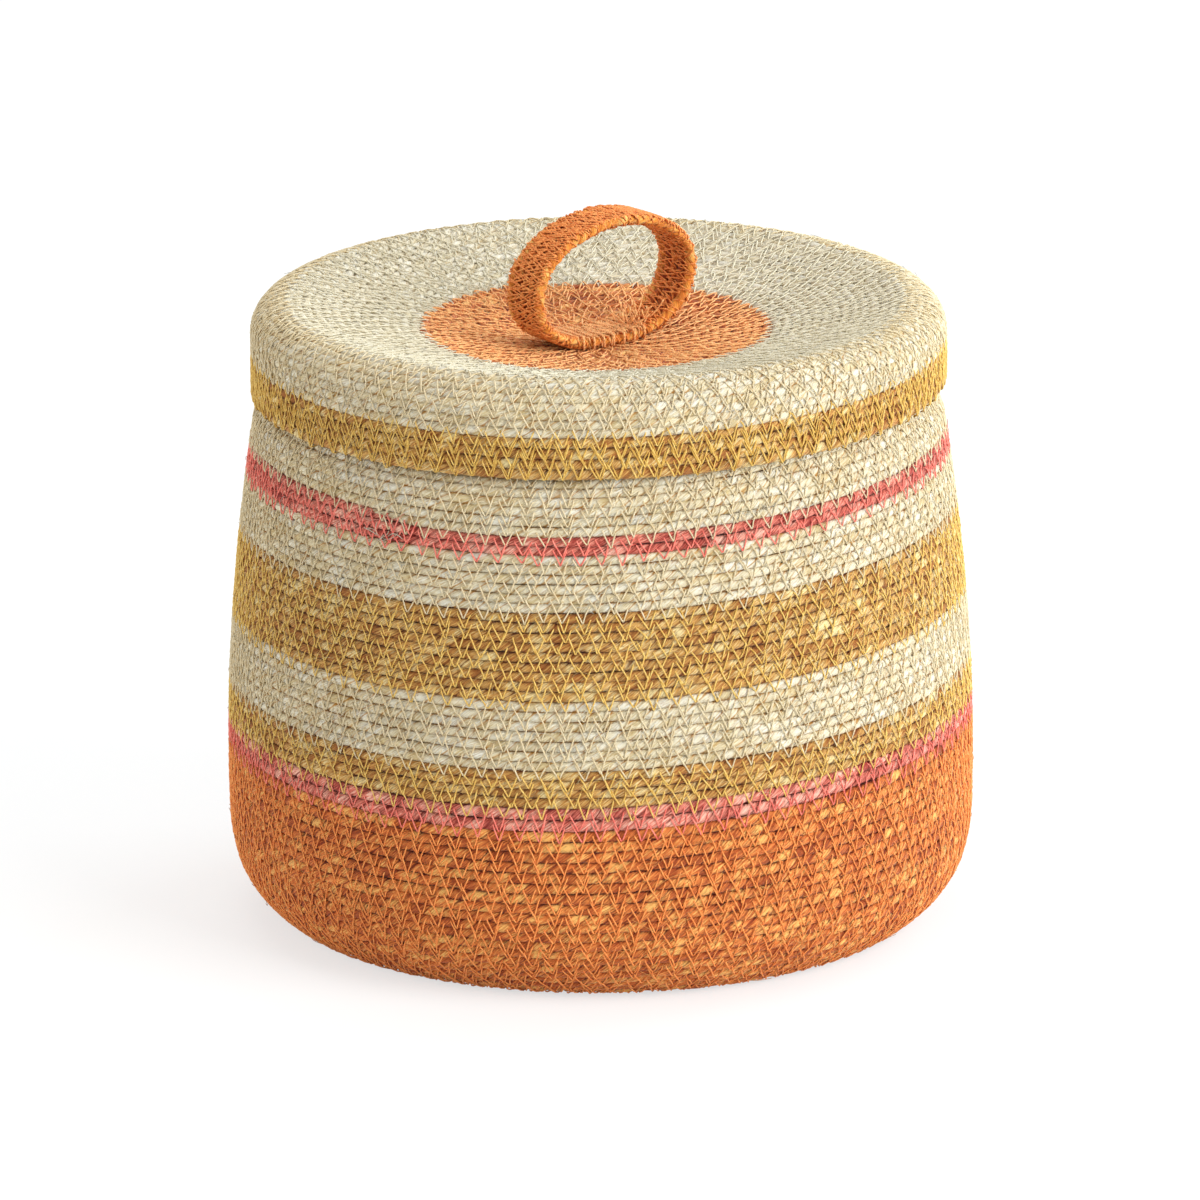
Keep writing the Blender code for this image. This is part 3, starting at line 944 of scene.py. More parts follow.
@dataclass
class Coil:
    """A cord laid in one spiral over a chain of courses, one turn to a course.

    Turns and courses are counted on one scale. A turn lies on the course of its own number,
    apart from where the courses are raised, tilted or sagging like a saddle, all in courses and
    easing out at both ends of the tilt's span. Stitches to a turn are nearly a whole number,
    with a drift from turn to turn. A length of rope is thin where it ends and laps the next.
    """

    crests: np.ndarray
    first_course: int
    seam_bearing: float
    sewing: Sewing
    seed: int
    cord: Cord = field(default_factory=Cord)
    stitch_length: float = 8.2
    stitch_drift: float = 0.08
    drift_spread: float = 0.24
    stitch_wander: float = 0.14
    raised: tuple[float, float] = (0.0, 0.0)
    tilt: float = 0.0
    saddle: float = 0.0
    tilt_bearing: float = -36.0
    tilt_span: tuple[float, float] = (0.0, 1.0)
    tilt_ease: float = 12.0
    steps: int = 96
    drift_courses: float = 2.5
    wander_stitches: float = 6.0
    thin_end: float = 0.34
    flat_end: float = 0.35
    level_end: float = 0.1
    lap_shift: float = 0.26
    thread_overrun: float = 0.2
    loose: LooseFibre = LooseFibre()

    def __post_init__(self) -> None:
        """Work out the courses' directions, the cord's length and its unevenness."""
        self.knots = np.arange(len(self.crests)) + self.first_course + 0.5
        rise = np.gradient(self.crests, axis=0)
        self.pitch = np.linalg.norm(rise, axis=1)
        self.rise = rise / self.pitch[:, None]
        self.first, self.last = self.knots[0] - 0.5, self.knots[-1] + 0.5
        self.turns = np.arange(self.first - 0.5, self.last + 0.5 + 1e-9, 1.0 / self.steps)
        girth = self.girth(self.turns, least_radius=0.5)
        spans = 0.5 * (girth[1:] + girth[:-1]) * np.diff(self.turns)
        self.lengths = np.concatenate(([0.0], np.cumsum(spans)))
        rng = np.random.default_rng(self.seed)
        self.yarn = TwistedCord(self.cord, float(self.lengths[-1]), rng)
        self.ring_turns = np.interp(self.yarn.spots, self.lengths, self.turns)
        self._count_stitches(rng)

    def _count_stitches(self, rng: np.random.Generator) -> None:
        """Count the zigzag's periods along the coil, nearly a whole number to each turn.

        Args:
            rng: Source of the drift from a whole number.
        """
        courses = int(self.last - self.first)
        girth = self.girth(self.first + np.arange(courses) + 0.5)
        whole = np.maximum(np.round(girth / self.stitch_length), 1.0)
        drift = wander(rng, np.arange(courses, dtype=float), self.drift_courses, self.drift_spread)
        self.stitch_count = np.concatenate(([0.0], np.cumsum(whole + (self.stitch_drift + drift))))
        self.stitch_turns = self.first + np.arange(courses + 1.0)

    def laid(self, turn: np.ndarray) -> np.ndarray:
        """Find the course at which a turn lies, where the courses are raised, tilted and sagging.

        Args:
            turn: How far round the spiral, in turns.

        Returns:
            The place across the courses.
        """
        bearing = math.radians(self.seam_bearing - self.tilt_bearing) + math.tau * turn
        inside = np.minimum(turn - self.tilt_span[0], self.tilt_span[1] - turn)
        raised = np.interp(turn, self.tilt_span, self.raised)
        shift = raised + self.tilt * np.cos(bearing) + self.saddle * np.cos(2.0 * bearing)
        return turn + shift * np.clip(inside / self.tilt_ease, 0.0, 1.0)

    def crest(self, course: np.ndarray) -> np.ndarray:
        """Find the crest line at a place counted in courses, also a little past its two ends.

        Args:
            course: How far across the courses.

        Returns:
            Radius and height, in millimetres.
        """
        radius = np.interp(course, self.knots, self.crests[:, 0])
        height = np.interp(course, self.knots, self.crests[:, 1])
        spot = np.stack((radius, height), axis=-1)
        before = np.minimum(np.asarray(course) - self.knots[0], 0.0) * self.pitch[0]
        beyond = np.maximum(np.asarray(course) - self.knots[-1], 0.0) * self.pitch[-1]
        return spot + before[..., None] * self.rise[0] + beyond[..., None] * self.rise[-1]

    def rising(self, course: np.ndarray) -> np.ndarray:
        """Return the direction across the courses, as parts along radius and height."""
        parts = [np.interp(course, self.knots, self.rise[:, part]) for part in (0, 1)]
        return unit(np.stack(parts, axis=-1))

    def girth(self, course: np.ndarray, least_radius: float = 1.0) -> np.ndarray:
        """Return the length of a turn at a course, with least_radius as its radius at the least."""
        return math.tau * np.maximum(self.crest(course)[..., 0], least_radius)

    def place(self, turn: np.ndarray, course: np.ndarray, lift: np.ndarray) -> Spots:
        """Return spots on the coiled surface, with its directions there.

        Args:
            turn: How far round the spiral, in turns.
            course: How far across the courses.
            lift: Height over the crests, in millimetres.

        Returns:
            Points, unit vectors out of the surface, and unit vectors across the courses.
        """
        spot, rise = self.crest(course), self.rising(course)
        bearing = math.radians(self.seam_bearing) + math.tau * turn
        radial = np.stack((np.cos(bearing), np.sin(bearing), np.zeros_like(bearing)), axis=-1)
        axial = np.array((0.0, 0.0, 1.0))
        across = radial * rise[..., :1] + axial * rise[..., 1:]
        out = radial * rise[..., 1:] - axial * rise[..., :1]
        points = radial * spot[..., :1] + axial * spot[..., 1:] + out * np.asarray(lift)[..., None]
        return points, out, across

    def rope(self, start: float, end: float, lap: tuple[float, float], level: bool = False) -> Tube:
        """Return the rings of one length of the coiled cord.

        Args:
            start: Where it starts, in turns.
            end: Where it ends.
            lap: Length over which its start and its end taper and lap, or 0 where it goes on.
            level: Whether it thins out over its last turn, so that the rim is level.

        Returns:
            The rings and their attributes, for a TubeMesh.
        """
        cord = self.cord
        spots = np.interp((start, end), self.turns, self.lengths)
        low, high = spots[0] - lap[0], spots[1] + lap[1]
        every = self.yarn.spots
        chosen = np.flatnonzero((every >= low - cord.step) & (every <= high + cord.step))
        turn, spot = self.ring_turns[chosen], every[chosen]
        size, course = np.ones_like(turn), self.laid(turn)
        for length, inwards, side in ((lap[0], spot - low, 1.0), (lap[1], high - spot, -1.0)):
            if length:
                share = np.clip(inwards / (2.0 * length), 0.0, 1.0)
                size *= self.thin_end + (1.0 - self.thin_end) * share
                course += side * self.lap_shift * (1.0 - share)
        if level:
            size *= np.clip(self.last + 0.5 - turn, self.level_end, 1.0)
            course = np.where(turn > self.last - 0.5, 0.5 * (self.last + turn - 0.5), course)
        pitch = np.interp(course, self.knots, self.pitch)
        lift = -0.5 * cord.thickness + self.yarn.shift_out[chosen]
        centre, out, across = self.place(turn, course + self.yarn.shift_across[chosen] / pitch, lift)
        half = (0.5 * cord.thickness * (self.flat_end + (1.0 - self.flat_end) * size),
                0.5 * pitch * cord.squeeze * size)
        free_side = 1.0 * (turn > self.last - 1.0) - 1.0 * (turn < self.first + 1.0)
        return self.yarn.rings(chosen, centre, out, across, half, free_side)

    def sew(self, start: float, end: float, thread: Thread, face: Face) -> Tube:
        """Return the rings of the zigzag that sews one length of the coil.

        Args:
            start: Where the length starts, in turns.
            end: Where it ends.
            thread: The thread's size and slack.
            face: The side of the rope that it lies on.

        Returns:
            The rings and their attributes, for a TubeMesh.
        """
        counts = np.interp((start, end), self.stitch_turns, self.stitch_count)
        whole = np.arange(math.ceil(counts[0]), math.floor(counts[1]) + 1)
        rng = np.random.default_rng(self.seed * 1000 + int(start * 10.0) + 31 * self.first_course)
        uneven = wander(rng, whole - whole[0], self.wander_stitches, self.stitch_wander)
        turn = np.interp(whole + uneven, self.stitch_count, self.stitch_turns)
        first, last = self.first - self.thread_overrun, self.last + self.thread_overrun

        def place(along: np.ndarray, across: np.ndarray, lift: np.ndarray) -> Spots:
            """Return spots at places in turns and in courses from the joint."""
            course = np.clip(self.laid(along) + self.sewing.value + across, first, last)
            return self.place(along, course, lift)

        return thread.zigzag(place, turn, 1.0 / self.girth(turn), face, rng)

    def loose_fibre(self, turn: float, length: float, slant: float, lift: float, thread: Thread,
                    rng: np.random.Generator, offset: float = 0.0) -> Tube:
        """Return the rings of one fibre that has worked loose and lies over the rope.

        Args:
            turn: Where it leaves the rope, in turns.
            length: Its length.
            slant: Its angle to the rope, in radians.
            lift: How far it stands off at its end.
            thread: Its thickness.
            rng: Source of its bends.
            offset: How many courses above its own turn it starts.

        Returns:
            The rings and their attributes, for a TubeMesh.
        """
        make = self.loose
        share = np.linspace(0.0, 1.0, make.points)
        bend = rng.normal(0.0, make.bend) * length * share * (1.0 - share) * 4.0
        girth = float(self.girth(np.array(turn), least_radius=4.0))
        along = turn + (length * math.cos(slant) * share - bend * math.sin(slant)) / girth
        pitch = float(np.interp(turn, self.knots, self.pitch))
        across = (length * math.sin(slant) * share + bend * math.cos(slant)) / pitch
        across += offset + rng.uniform(-make.scatter, make.scatter)
        wave = rng.normal(0.0, make.wave) * np.sin(math.pi * share)
        rise = make.stand_off + lift * share ** make.rise_power + wave
        rise = np.maximum(rise, make.least_lift) - make.root_depth * (1.0 - share) ** 4
        points, out, _ = self.place(along, self.laid(along) + across, rise)
        rings, attributes = thread.lie(points, out)
        tone_and_shade = (rng.uniform(*make.brightness), make.streak, 1.0)
        attributes["tone_and_shade"] = np.broadcast_to(tone_and_shade, rings.shape)
        return rings, attributes


@dataclass(frozen=True)
class Band:
    """A dyed length of rope: the node that it stands for, and its turns of the spiral."""

    node: str
    dye: Dye
    slot: str
    start: float
    end: float


def hand_over(mesh: TubeMesh, name: str, material: bpy.types.Material, body: str, node: str) -> None:
    """Make a piece from its mesh, hang it on its body and hide the node that it stands for.

    Args:
        mesh: Its tubes.
        name: Its name.
        material: Its finish.
        body: The body that it rides.
        node: The node that it stands for.
    """
    piece = mesh.build(name, material)
    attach(piece, body)
    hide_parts(node)
    log.info("%s: %d faces", name, len(piece.data.polygons))


@dataclass(frozen=True)
class Splice:
    """The spot where one dyed length ends in another: its bindings, and the frayed ends round it.

    Bindings are in turns from the spot. The frayed ends of each rope are a count, and their
    place in courses from the spot's own turn.
    """

    bindings: tuple[tuple[float, float], ...] = ((-0.05, 0.02), (-1.03, -0.985))
    ends_below: tuple[int, float] = (5, -0.3)
    ends_above: tuple[int, float] = (9, -2.2)
    spread: float = 0.003
    slant: float = 0.45
    turned_back: float = 0.4
    thickness: tuple[float, float] = (0.1, 0.2)
    length: tuple[float, float] = (3.0, 9.0)
    lift: tuple[float, float] = (0.1, 0.8)
    seed: int = 5


@dataclass
class CoiledPart:
    """A coil of dyed bands on one body, with its rope and its sewing.

    The values for stitches are triangles in one stitch of each face. Slant is in radians, as a
    mean and a spread.
    """

    body: str
    coil: Coil
    bands: list[Band]
    shop: Workshop
    thread: Thread = field(default_factory=Thread)
    fibre: Thread = field(default_factory=lambda: Thread(radius=0.1))
    joining: Splice = Splice()
    lap: float = 11.0
    rim_overrun: float = 0.45
    edge_start: float = 0.13
    outer_stitch: int = 104
    inner_stitch: int = 56
    fibre_spacing: float = 90.0
    fibre_length: tuple[float, float] = (3.0, 11.0)
    fibre_slant: tuple[float, float] = (0.25, 0.3)
    fibre_lift: tuple[float, float] = (0.1, 1.0)

    def build(self) -> None:
        """Make the rope, the threads and the loose fibres of every band."""
        for band in self.bands:
            self._lay_rope(band)
            self._sew(band, Face.OUTER, self.outer_stitch)
            self._sew(band, Face.INNER, self.inner_stitch)
            if band.node != "base_coil":
                self._fray(band)

    def _fray(self, band: Band) -> None:
        """Raise some loose fibres from a band's rope.

        Args:
            band: The band.
        """
        rng = np.random.default_rng(self.coil.seed + int(10.0 * band.end))
        mesh = TubeMesh()
        for turn in rng.uniform(band.start, band.end, int(self._length(band) / self.fibre_spacing)):
            mesh.add(*self.coil.loose_fibre(turn, rng.uniform(*self.fibre_length),
                                            rng.normal(*self.fibre_slant), rng.uniform(*self.fibre_lift),
                                            self.fibre, rng))
        self._finish(mesh, "loose_fibres", self.shop.rope_materials[band.dye], band)

    def sew_again(self, band: Band, courses: float) -> None:
        """Sew a band's first courses a second time, as at an edge.

        Args:
            band: The band.
            courses: How many of its courses.
        """
        mesh = TubeMesh()
        start, end = band.start + self.edge_start, band.start + courses
        mesh.add(*self.coil.sew(start, end, self.thread, Face.OUTER))
        self._finish(mesh, "edge_thread", self.shop.skirt_thread, band)

    def splice(self, below: Band, above: Band) -> None:
        """Bind the spot where one dyed length ends in another, with a few frayed ends round it.

        Args:
            below: The band whose rope ends there.
            above: The band that starts there.
        """
        make, turn = self.joining, above.start
        rng = np.random.default_rng(self.coil.seed + make.seed)
        mesh = TubeMesh()
        for start, end in make.bindings:
            mesh.add(*self.coil.sew(turn + start, turn + end, self.thread, Face.OUTER))
        self._finish(mesh, "splice_thread", self.shop.thread_materials[below.dye], below)
        for band, (count, offset) in ((below, make.ends_below), (above, make.ends_above)):
            mesh = TubeMesh()
            for _ in range(count):
                slant = rng.normal(0.0, make.slant) + (math.pi if rng.random() < make.turned_back else 0.0)
                frayed = Thread(radius=rng.uniform(*make.thickness))
                place = turn + rng.normal(0.0, make.spread)
                mesh.add(*self.coil.loose_fibre(place, rng.uniform(*make.length), slant,
                                                rng.uniform(*make.lift), frayed, rng, offset))
            self._finish(mesh, "splice_ends", self.shop.rope_materials[band.dye], band)

    def _cuts(self, band: Band, triangles: float) -> list[float]:
        """Find the turns at which a band is cut into pieces that aren't too heavy.

        Args:
            band: The band.
            triangles: How many triangles it has in all.

        Returns:
            The turns of every piece's start, and of the last one's end.
        """
        coil, pieces = self.coil, max(1, math.ceil(triangles / PIECE_TRIANGLES))
        spots = np.interp((band.start, band.end), coil.turns, coil.lengths)
        return list(np.interp(np.linspace(spots[0], spots[1], pieces + 1), coil.lengths, coil.turns))

    def _length(self, band: Band) -> float:
        """Return the length of a band's rope."""
        spots = np.interp((band.start, band.end), self.coil.turns, self.coil.lengths)
        return float(spots[1] - spots[0])

    def _finish(self, mesh: TubeMesh, what: str, material: bpy.types.Material, band: Band) -> None:
        """Hand over a piece that stands for a band's node and is named after it."""
        hand_over(mesh, f"{band.node}_{what}", material, self.body, band.node)

    def _lay_rope(self, band: Band) -> None:
        """Lay the rope of a band, which thins out to a level rim where it ends the basket's coil.

        Args:
            band: The band.
        """
        cord = self.coil.cord
        cuts = self._cuts(band, self._length(band) / cord.step * cord.sides * 2)
        for number, (start, end) in enumerate(zip(cuts, cuts[1:]), 1):
            lap = (self.lap if number == 1 else 0.0, self.lap if number == len(cuts) - 1 else 0.0)
            level = end >= self.coil.last - 1e-6 and self.coil.sewing is Sewing.TO_COURSE_BEFORE
            mesh = TubeMesh()
            mesh.add(*self.coil.rope(start, end + (self.rim_overrun if level else 0.0), lap, level))
            self._finish(mesh, f"rope_{number}", self.shop.rope_materials[band.dye], band)

    def _sew(self, band: Band, face: Face, stitch: int) -> None:
        """Sew a band's joints on one face.

        Args:
            band: The band.
            face: The side of the rope that the thread lies on.
            stitch: How many triangles one stitch has.
        """
        cuts = self._cuts(band, self._length(band) / self.coil.stitch_length * stitch)
        for number, (start, end) in enumerate(zip(cuts, cuts[1:]), 1):
            mesh = TubeMesh()
            mesh.add(*self.coil.sew(start, end, self.thread, face))
            self._finish(mesh, f"{face.value}_thread_{number}", self.shop.thread_materials[band.dye], band)


@dataclass
class Basket:
    """The basket's body: a flat coil for its base and one spiral up the wall.

    The upper pink rope starts in time but ends late, by its overrun in turns.
    """

    shop: Workshop
    seam_bearing: float = 74.0
    base_courses: int = 31
    base_lift: float = 0.8
    centre_gap: float = 0.55
    pink_overrun: float = 0.34
    raised: tuple[float, float] = (-0.3, 1.3)
    tilt: float = 0.8
    saddle: float = 0.55
    tilt_bearing: float = -40.0

    def build(self) -> None:
        """Lay and sew the base and the wall."""
        wall = (("wall_orange", Dye.ORANGE), ("wall_pink_lower", Dye.PINK),
                ("wall_mustard_lower", Dye.MUSTARD), ("wall_natural_lower", Dye.NATURAL),
                ("wall_mustard_upper", Dye.MUSTARD), ("wall_natural_middle", Dye.NATURAL),
                ("wall_pink_upper", Dye.PINK), ("wall_natural_rim", Dye.NATURAL))
        _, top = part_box("base_coil")
        foot = top[0] / MM
        base = [(foot * (course + 0.5) / self.base_courses, self.base_lift)
                for course in range(self.base_courses)]
        courses = chain_courses([node for node, _ in wall], (foot, 0.0))
        centre = self.centre_gap - self.base_courses
        bands = [Band("base_coil", Dye.ORANGE, "orange_seagrass", centre, 0.0)]
        start = 0.0
        for (node, dye), crests in zip(wall, courses):
            end = start + len(crests)
            late_start = self.pink_overrun if node == "wall_natural_rim" else 0.0
            late_end = self.pink_overrun if node == "wall_pink_upper" else 0.0
            bands.append(Band(node, dye, f"{dye.value}_seagrass", start + late_start, end + late_end))
            start = end
        coil = Coil(np.concatenate([np.array(base)] + courses), -self.base_courses, self.seam_bearing,
                    Sewing.TO_COURSE_BEFORE, MAKER_SEED, raised=self.raised, tilt=self.tilt,
                    saddle=self.saddle, tilt_bearing=self.tilt_bearing, tilt_span=(0.0, start))
        part = CoiledPart("basket", coil, bands, self.shop)
        part.build()
        part.splice(bands[-2], bands[-1])


@dataclass
class Lid:
    """The lid: one spiral from the skirt's lower edge over the shoulder to the centre."""

    shop: Workshop
    seam_bearing: float = 74.0
    stitch_length: float = 7.5
    edge_courses: float = 3.0
    centre_gap: float = 0.45
    raised: tuple[float, float] = (0.55, 0.55)
    tilt: float = 0.45
    saddle: float = 0.2
    tilt_top: float = 12.0
    tilt_ease: float = 8.0

    def build(self) -> None:
        """Lay and sew the lid."""
        # The dish and the centre take the top-lit copies of natural and orange: painted light from above.
        rings = (("lid_skirt_mustard", Dye.MUSTARD), ("lid_shoulder_natural", Dye.NATURAL),
                 ("lid_dish_natural", Dye.TOP_LIT_NATURAL), ("lid_centre_orange", Dye.TOP_LIT_ORANGE))
        low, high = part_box("lid_skirt_mustard")
        courses = chain_courses([node for node, _ in rings], (high[0] / MM, low[2] / MM))
        bands = []
        start = 0.0
        for (node, dye), crests in zip(rings, courses):
            end = start + len(crests)
            gap = self.centre_gap if node == "lid_centre_orange" else 0.0
            bands.append(Band(node, dye, f"{node.split('_')[-1]}_seagrass", start, end - gap))
            start = end
        coil = Coil(np.concatenate(courses), 0, self.seam_bearing, Sewing.TO_COURSE_AFTER, MAKER_SEED + 1,
                    stitch_length=self.stitch_length, raised=self.raised, tilt=self.tilt, saddle=self.saddle,
                    tilt_span=(-self.tilt_ease - 1.0, self.tilt_top), tilt_ease=self.tilt_ease)
        part = CoiledPart("lid", coil, bands, self.shop)
        part.build()
        part.sew_again(bands[0], self.edge_courses)


@dataclass(frozen=True)
class Tuft:
    """Loose ends of thread inside the handle's foot: where they start, and how they stand.

    Pairs are the least and the most of what is drawn for each end.
    """

    ends: int = 36
    points: int = 7
    before_foot: tuple[float, float] = (11.0, 24.0)
    reach: tuple[float, float] = (4.0, 9.5)
    along: tuple[float, float] = (-0.2, 1.0)
    across: tuple[float, float] = (-1.5, 0.7)
    spread: float = 0.5
    root: float = 0.3
    rise: tuple[float, float] = (0.35, 0.85)
    rise_power: float = 1.2


@dataclass(frozen=True)
class FootStitch:
    """A stitch over the handle's foot: two threads twisted together, over a rounded edge each side."""

    radius: float = 0.55
    corner: float = 1.0
    corner_points: int = 5
    step: float = 0.5
    sway: Unevenness = Unevenness(4.0, 0.15)
    twist: float = 1.9
    apart: float = 0.26


@dataclass
class Handle:
    """The lid's handle: courses of rope sewn side by side into a strap and closed to a ring.

    Its ring is longer than it is high, flatter at its foot than at its crown, and leans to +X.
    The foot is at both ends of the distance along the ring.
    """

    shop: Workshop
    length: float = 78.6
    lean: float = 0.12
    shift: float = 1.8
    settled: float = 0.9
    crown_power: float = 2.0
    foot_power: float = 2.4
    line_points: int = 1601
    courses: int = 5
    pitch: float = 4.5
    row_wander: float = 0.3
    stitch_length: float = 3.7
    passes: int = 2
    foot_clear: tuple[float, float] = (13.0, 20.0)
    wrap_pitch: float = 3.9
    wrap_step: float = 0.1
    wrap_change: Unevenness = Unevenness(0.8, 0.75)
    wrap_lift: Unevenness = Unevenness(0.7, 0.05)
    wrap_sink: float = 0.05
    wrap_swell: float = 0.02
    foot_rows: int = 8
    foot_width: float = 1.5
    foot_reach: float = 20.0
    foot_start: float = 6.0
    foot_stitch: float = 2.4
    stitch_names: str = "handle_stitch_"
    cord: Cord = field(default_factory=lambda: Cord(thickness=3.8, lay=12.0, step=1.2))
    edge_cord: Cord = field(default_factory=lambda: Cord(thickness=3.8, lay=11.0, step=1.0, packing=0.1))
    thread: Thread = field(default_factory=lambda: Thread(
        radius=0.33, fall=3.3, climb=1.9, reach=0.92, sag=0.0, jitter_along=0.7, jitter_across=0.14,
        jitter_lift=0.1, bow=0.35, rope=3.8))
    foot_thread: Thread = field(default_factory=lambda: Thread(
        fall=3.6, climb=3.0, reach=0.85, sag=0.0, jitter_along=1.2, jitter_across=0.3, bow=0.9,
        rope=4.15, depth=0.4))
    tuft: Tuft = Tuft()
    tie: FootStitch = FootStitch()

    def __post_init__(self) -> None:
        """Trace the ring's middle line, from its foot round by the left, the top and the right."""
        low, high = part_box("handle_strap")
        height = (high[2] - low[2]) / MM - self.settled
        thickness = self.cord.thickness
        turns = -0.5 * math.pi - math.tau * np.linspace(0.0, 1.0, self.line_points)
        line = []
        for turn in turns:
            cosine, sine = math.cos(turn), math.sin(turn)
            power = 2.0 / (self.crown_power if sine >= 0.0 else self.foot_power)
            across = 0.5 * (self.length - thickness) * math.copysign(abs(cosine) ** power, cosine)
            up = 0.5 * (height - thickness) * math.copysign(abs(sine) ** power, sine)
            line.append((across + self.lean * up + self.shift, up + low[2] / MM + 0.5 * height))
        self.line = np.array(line)
        spans = np.linalg.norm(np.diff(self.line, axis=0), axis=1)
        self.spots = np.concatenate(([0.0], np.cumsum(spans)))
        self.girth = float(self.spots[-1])
        self.heading = unit(np.gradient(self.line, self.spots, axis=0))

    def place(self, along: np.ndarray, across: np.ndarray, lift: np.ndarray) -> Spots:
        """Return spots on the strap, and its directions there.

        Args:
            along: Distance round the ring, in millimetres.
            across: Distance from the strap's middle, in courses.
            lift: Height over the outer face's crests.

        Returns:
            Points, unit vectors out of the ring, and unit vectors across the strap.
        """
        along = np.asarray(along) % self.girth
        spot = [np.interp(along, self.spots, self.line[:, part]) for part in (0, 1)]
        heading = unit(np.stack([np.interp(along, self.spots, self.heading[:, part])
                                 for part in (0, 1)], axis=-1))
        flat = np.zeros_like(spot[0])
        out = np.stack((-heading[..., 1], flat, heading[..., 0]), axis=-1)
        side = np.zeros_like(out)
        side[..., 1] = 1.0
        middle = np.stack((spot[0], flat, spot[1]), axis=-1)
        rise = np.asarray(lift)[..., None] + 0.5 * self.cord.thickness
        return middle + out * rise + side * (np.asarray(across) * self.pitch)[..., None], out, side

    def seam(self, middle: float) -> Placer:
        """Return what places spots beside a line along the strap, in courses from its middle."""
        return lambda along, across, lift: self.place(along, across + middle, lift)

    def build(self) -> None:
        """Make the ropes, the sewing, the wrapped edges and the stitches at the foot."""
        rng = np.random.default_rng(MAKER_SEED + 2)
        # The foot's stitches, its sewing and the tuft take the top-lit orange thread: painted light from
        # above.
        shop, top_lit_orange = self.shop, self.shop.thread_materials[Dye.TOP_LIT_ORANGE]
        inner_ropes = self._ropes(range(1, self.courses - 1), self.cord, rng)
        self._finish("handle_ropes", inner_ropes, shop.handle_material)
        edge_ropes = self._ropes((0, self.courses - 1), self.edge_cord, rng)
        self._finish("handle_edge_ropes", edge_ropes, shop.edge_material)
        self._finish("handle_outer_thread", self._sewing(Face.OUTER, rng), shop.handle_thread)
        self._finish("handle_inner_thread", self._sewing(Face.INNER, rng), shop.handle_thread)
        self._finish("handle_edge_thread", self._edges(rng), shop.handle_thread)
        self._finish("handle_foot_thread", self._foot_sewing(rng), top_lit_orange)
        self._finish("handle_thread_tuft", self._tuft(rng), top_lit_orange)
        for node in sorted(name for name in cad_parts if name.startswith(self.stitch_names)):
            hand_over(self._foot_tie(node, rng), f"{node}_threads", top_lit_orange, "lid", node)

    def _finish(self, name: str, mesh: TubeMesh, material: bpy.types.Material) -> None:
        """Hand over a piece of the strap."""
        hand_over(mesh, name, material, "lid", "handle_strap")

    def _ropes(self, courses: Sequence[int], cord: Cord, rng: np.random.Generator) -> TubeMesh:
        """Lay some of the strap's courses, each closed to a ring.

        Args:
            courses: Which of them, from one edge.
            cord: The cord that they are laid from.
            rng: Source of its unevenness.

        Returns:
            Their mesh.
        """
        mesh = TubeMesh()
        for course in courses:
            yarn = TwistedCord(cord, self.girth + cord.step, rng)
            chosen = np.arange(len(yarn.spots))
            across = np.full(len(chosen), course - 0.5 * (self.courses - 1))
            across = across + self.row_wander * yarn.shift_across / self.pitch
            lift = -0.5 * self.cord.thickness + yarn.shift_out
            centre, out, side = self.place(yarn.spots, across, lift)
            half = (np.full(len(chosen), 0.5 * self.cord.thickness),
                    np.full(len(chosen), 0.5 * self.pitch * self.cord.squeeze))
            free_side = np.full(len(chosen), float(np.sign(2 * course - self.courses + 1)))
            mesh.add(*yarn.rings(chosen, centre, out, side, half, free_side))
        return mesh

    def _sewing(self, face: Face, rng: np.random.Generator) -> TubeMesh:
        """Sew the strap's joints with dense zigzags, which stop short of the foot on its inner face.

        Args:
            face: The face that they lie on.
            rng: Source of where they start and of their slack.

        Returns:
            Their mesh.
        """
        mesh = TubeMesh()
        for joint in range(1, self.courses):
            for _ in range(self.passes if face is Face.OUTER else 1):
                start = rng.uniform(0.0, self.stitch_length)
                bottoms = np.arange(start, self.girth, self.stitch_length)
                if face is Face.INNER:
                    clear = rng.uniform(*self.foot_clear)
                    bottoms = bottoms[np.abs(bottoms - 0.5 * self.girth) < 0.5 * self.girth - clear]
                seam = self.seam(joint - 0.5 * self.courses)
                mesh.add(*self.thread.zigzag(seam, bottoms, np.ones_like(bottoms), face, rng))
        return mesh

    def _edges(self, rng: np.random.Generator) -> TubeMesh:
        """Wind thread round the strap's two edge ropes.

        Args:
            rng: Source of the winds' unevenness.

        Returns:
            The threads' mesh.
        """
        mesh = TubeMesh()
        across_size = 0.5 * self.pitch * self.cord.squeeze + self.wrap_swell
        for edge in (-1.0, 1.0):
            winds = np.arange(0.0, self.girth / self.wrap_pitch, self.wrap_step)
            along = winds * self.wrap_pitch + self.wrap_change.along(rng, winds)
            angle = math.tau * winds * edge
            out_size = 0.5 * self.cord.thickness - self.wrap_sink + self.wrap_lift.along(rng, winds)
            centre, out, side = self.place(along, np.full_like(along, edge * 0.5 * (self.courses - 1)),
                                           np.full_like(along, -0.5 * self.cord.thickness))
            radial = out * (out_size * np.cos(angle))[:, None] + side * (across_size * np.sin(angle))[:, None]
            mesh.add(*self.thread.lie(centre + radial, radial))
        return mesh

    def _foot_sewing(self, rng: np.random.Generator) -> TubeMesh:
        """Sew the strap's foot down with tangled zigzags, on its inner face.

        Args:
            rng: Source of where they start and of their slack.

        Returns:
            Their mesh.
        """
        mesh = TubeMesh()
        for row in np.linspace(-self.foot_width, self.foot_width, self.foot_rows):
            start = -self.foot_reach + rng.uniform(0.0, self.foot_start)
            bottoms = np.arange(start, self.foot_reach, self.foot_stitch)
            mesh.add(*self.foot_thread.zigzag(self.seam(row), bottoms, np.ones_like(bottoms),
                                              Face.INNER, rng))
        return mesh

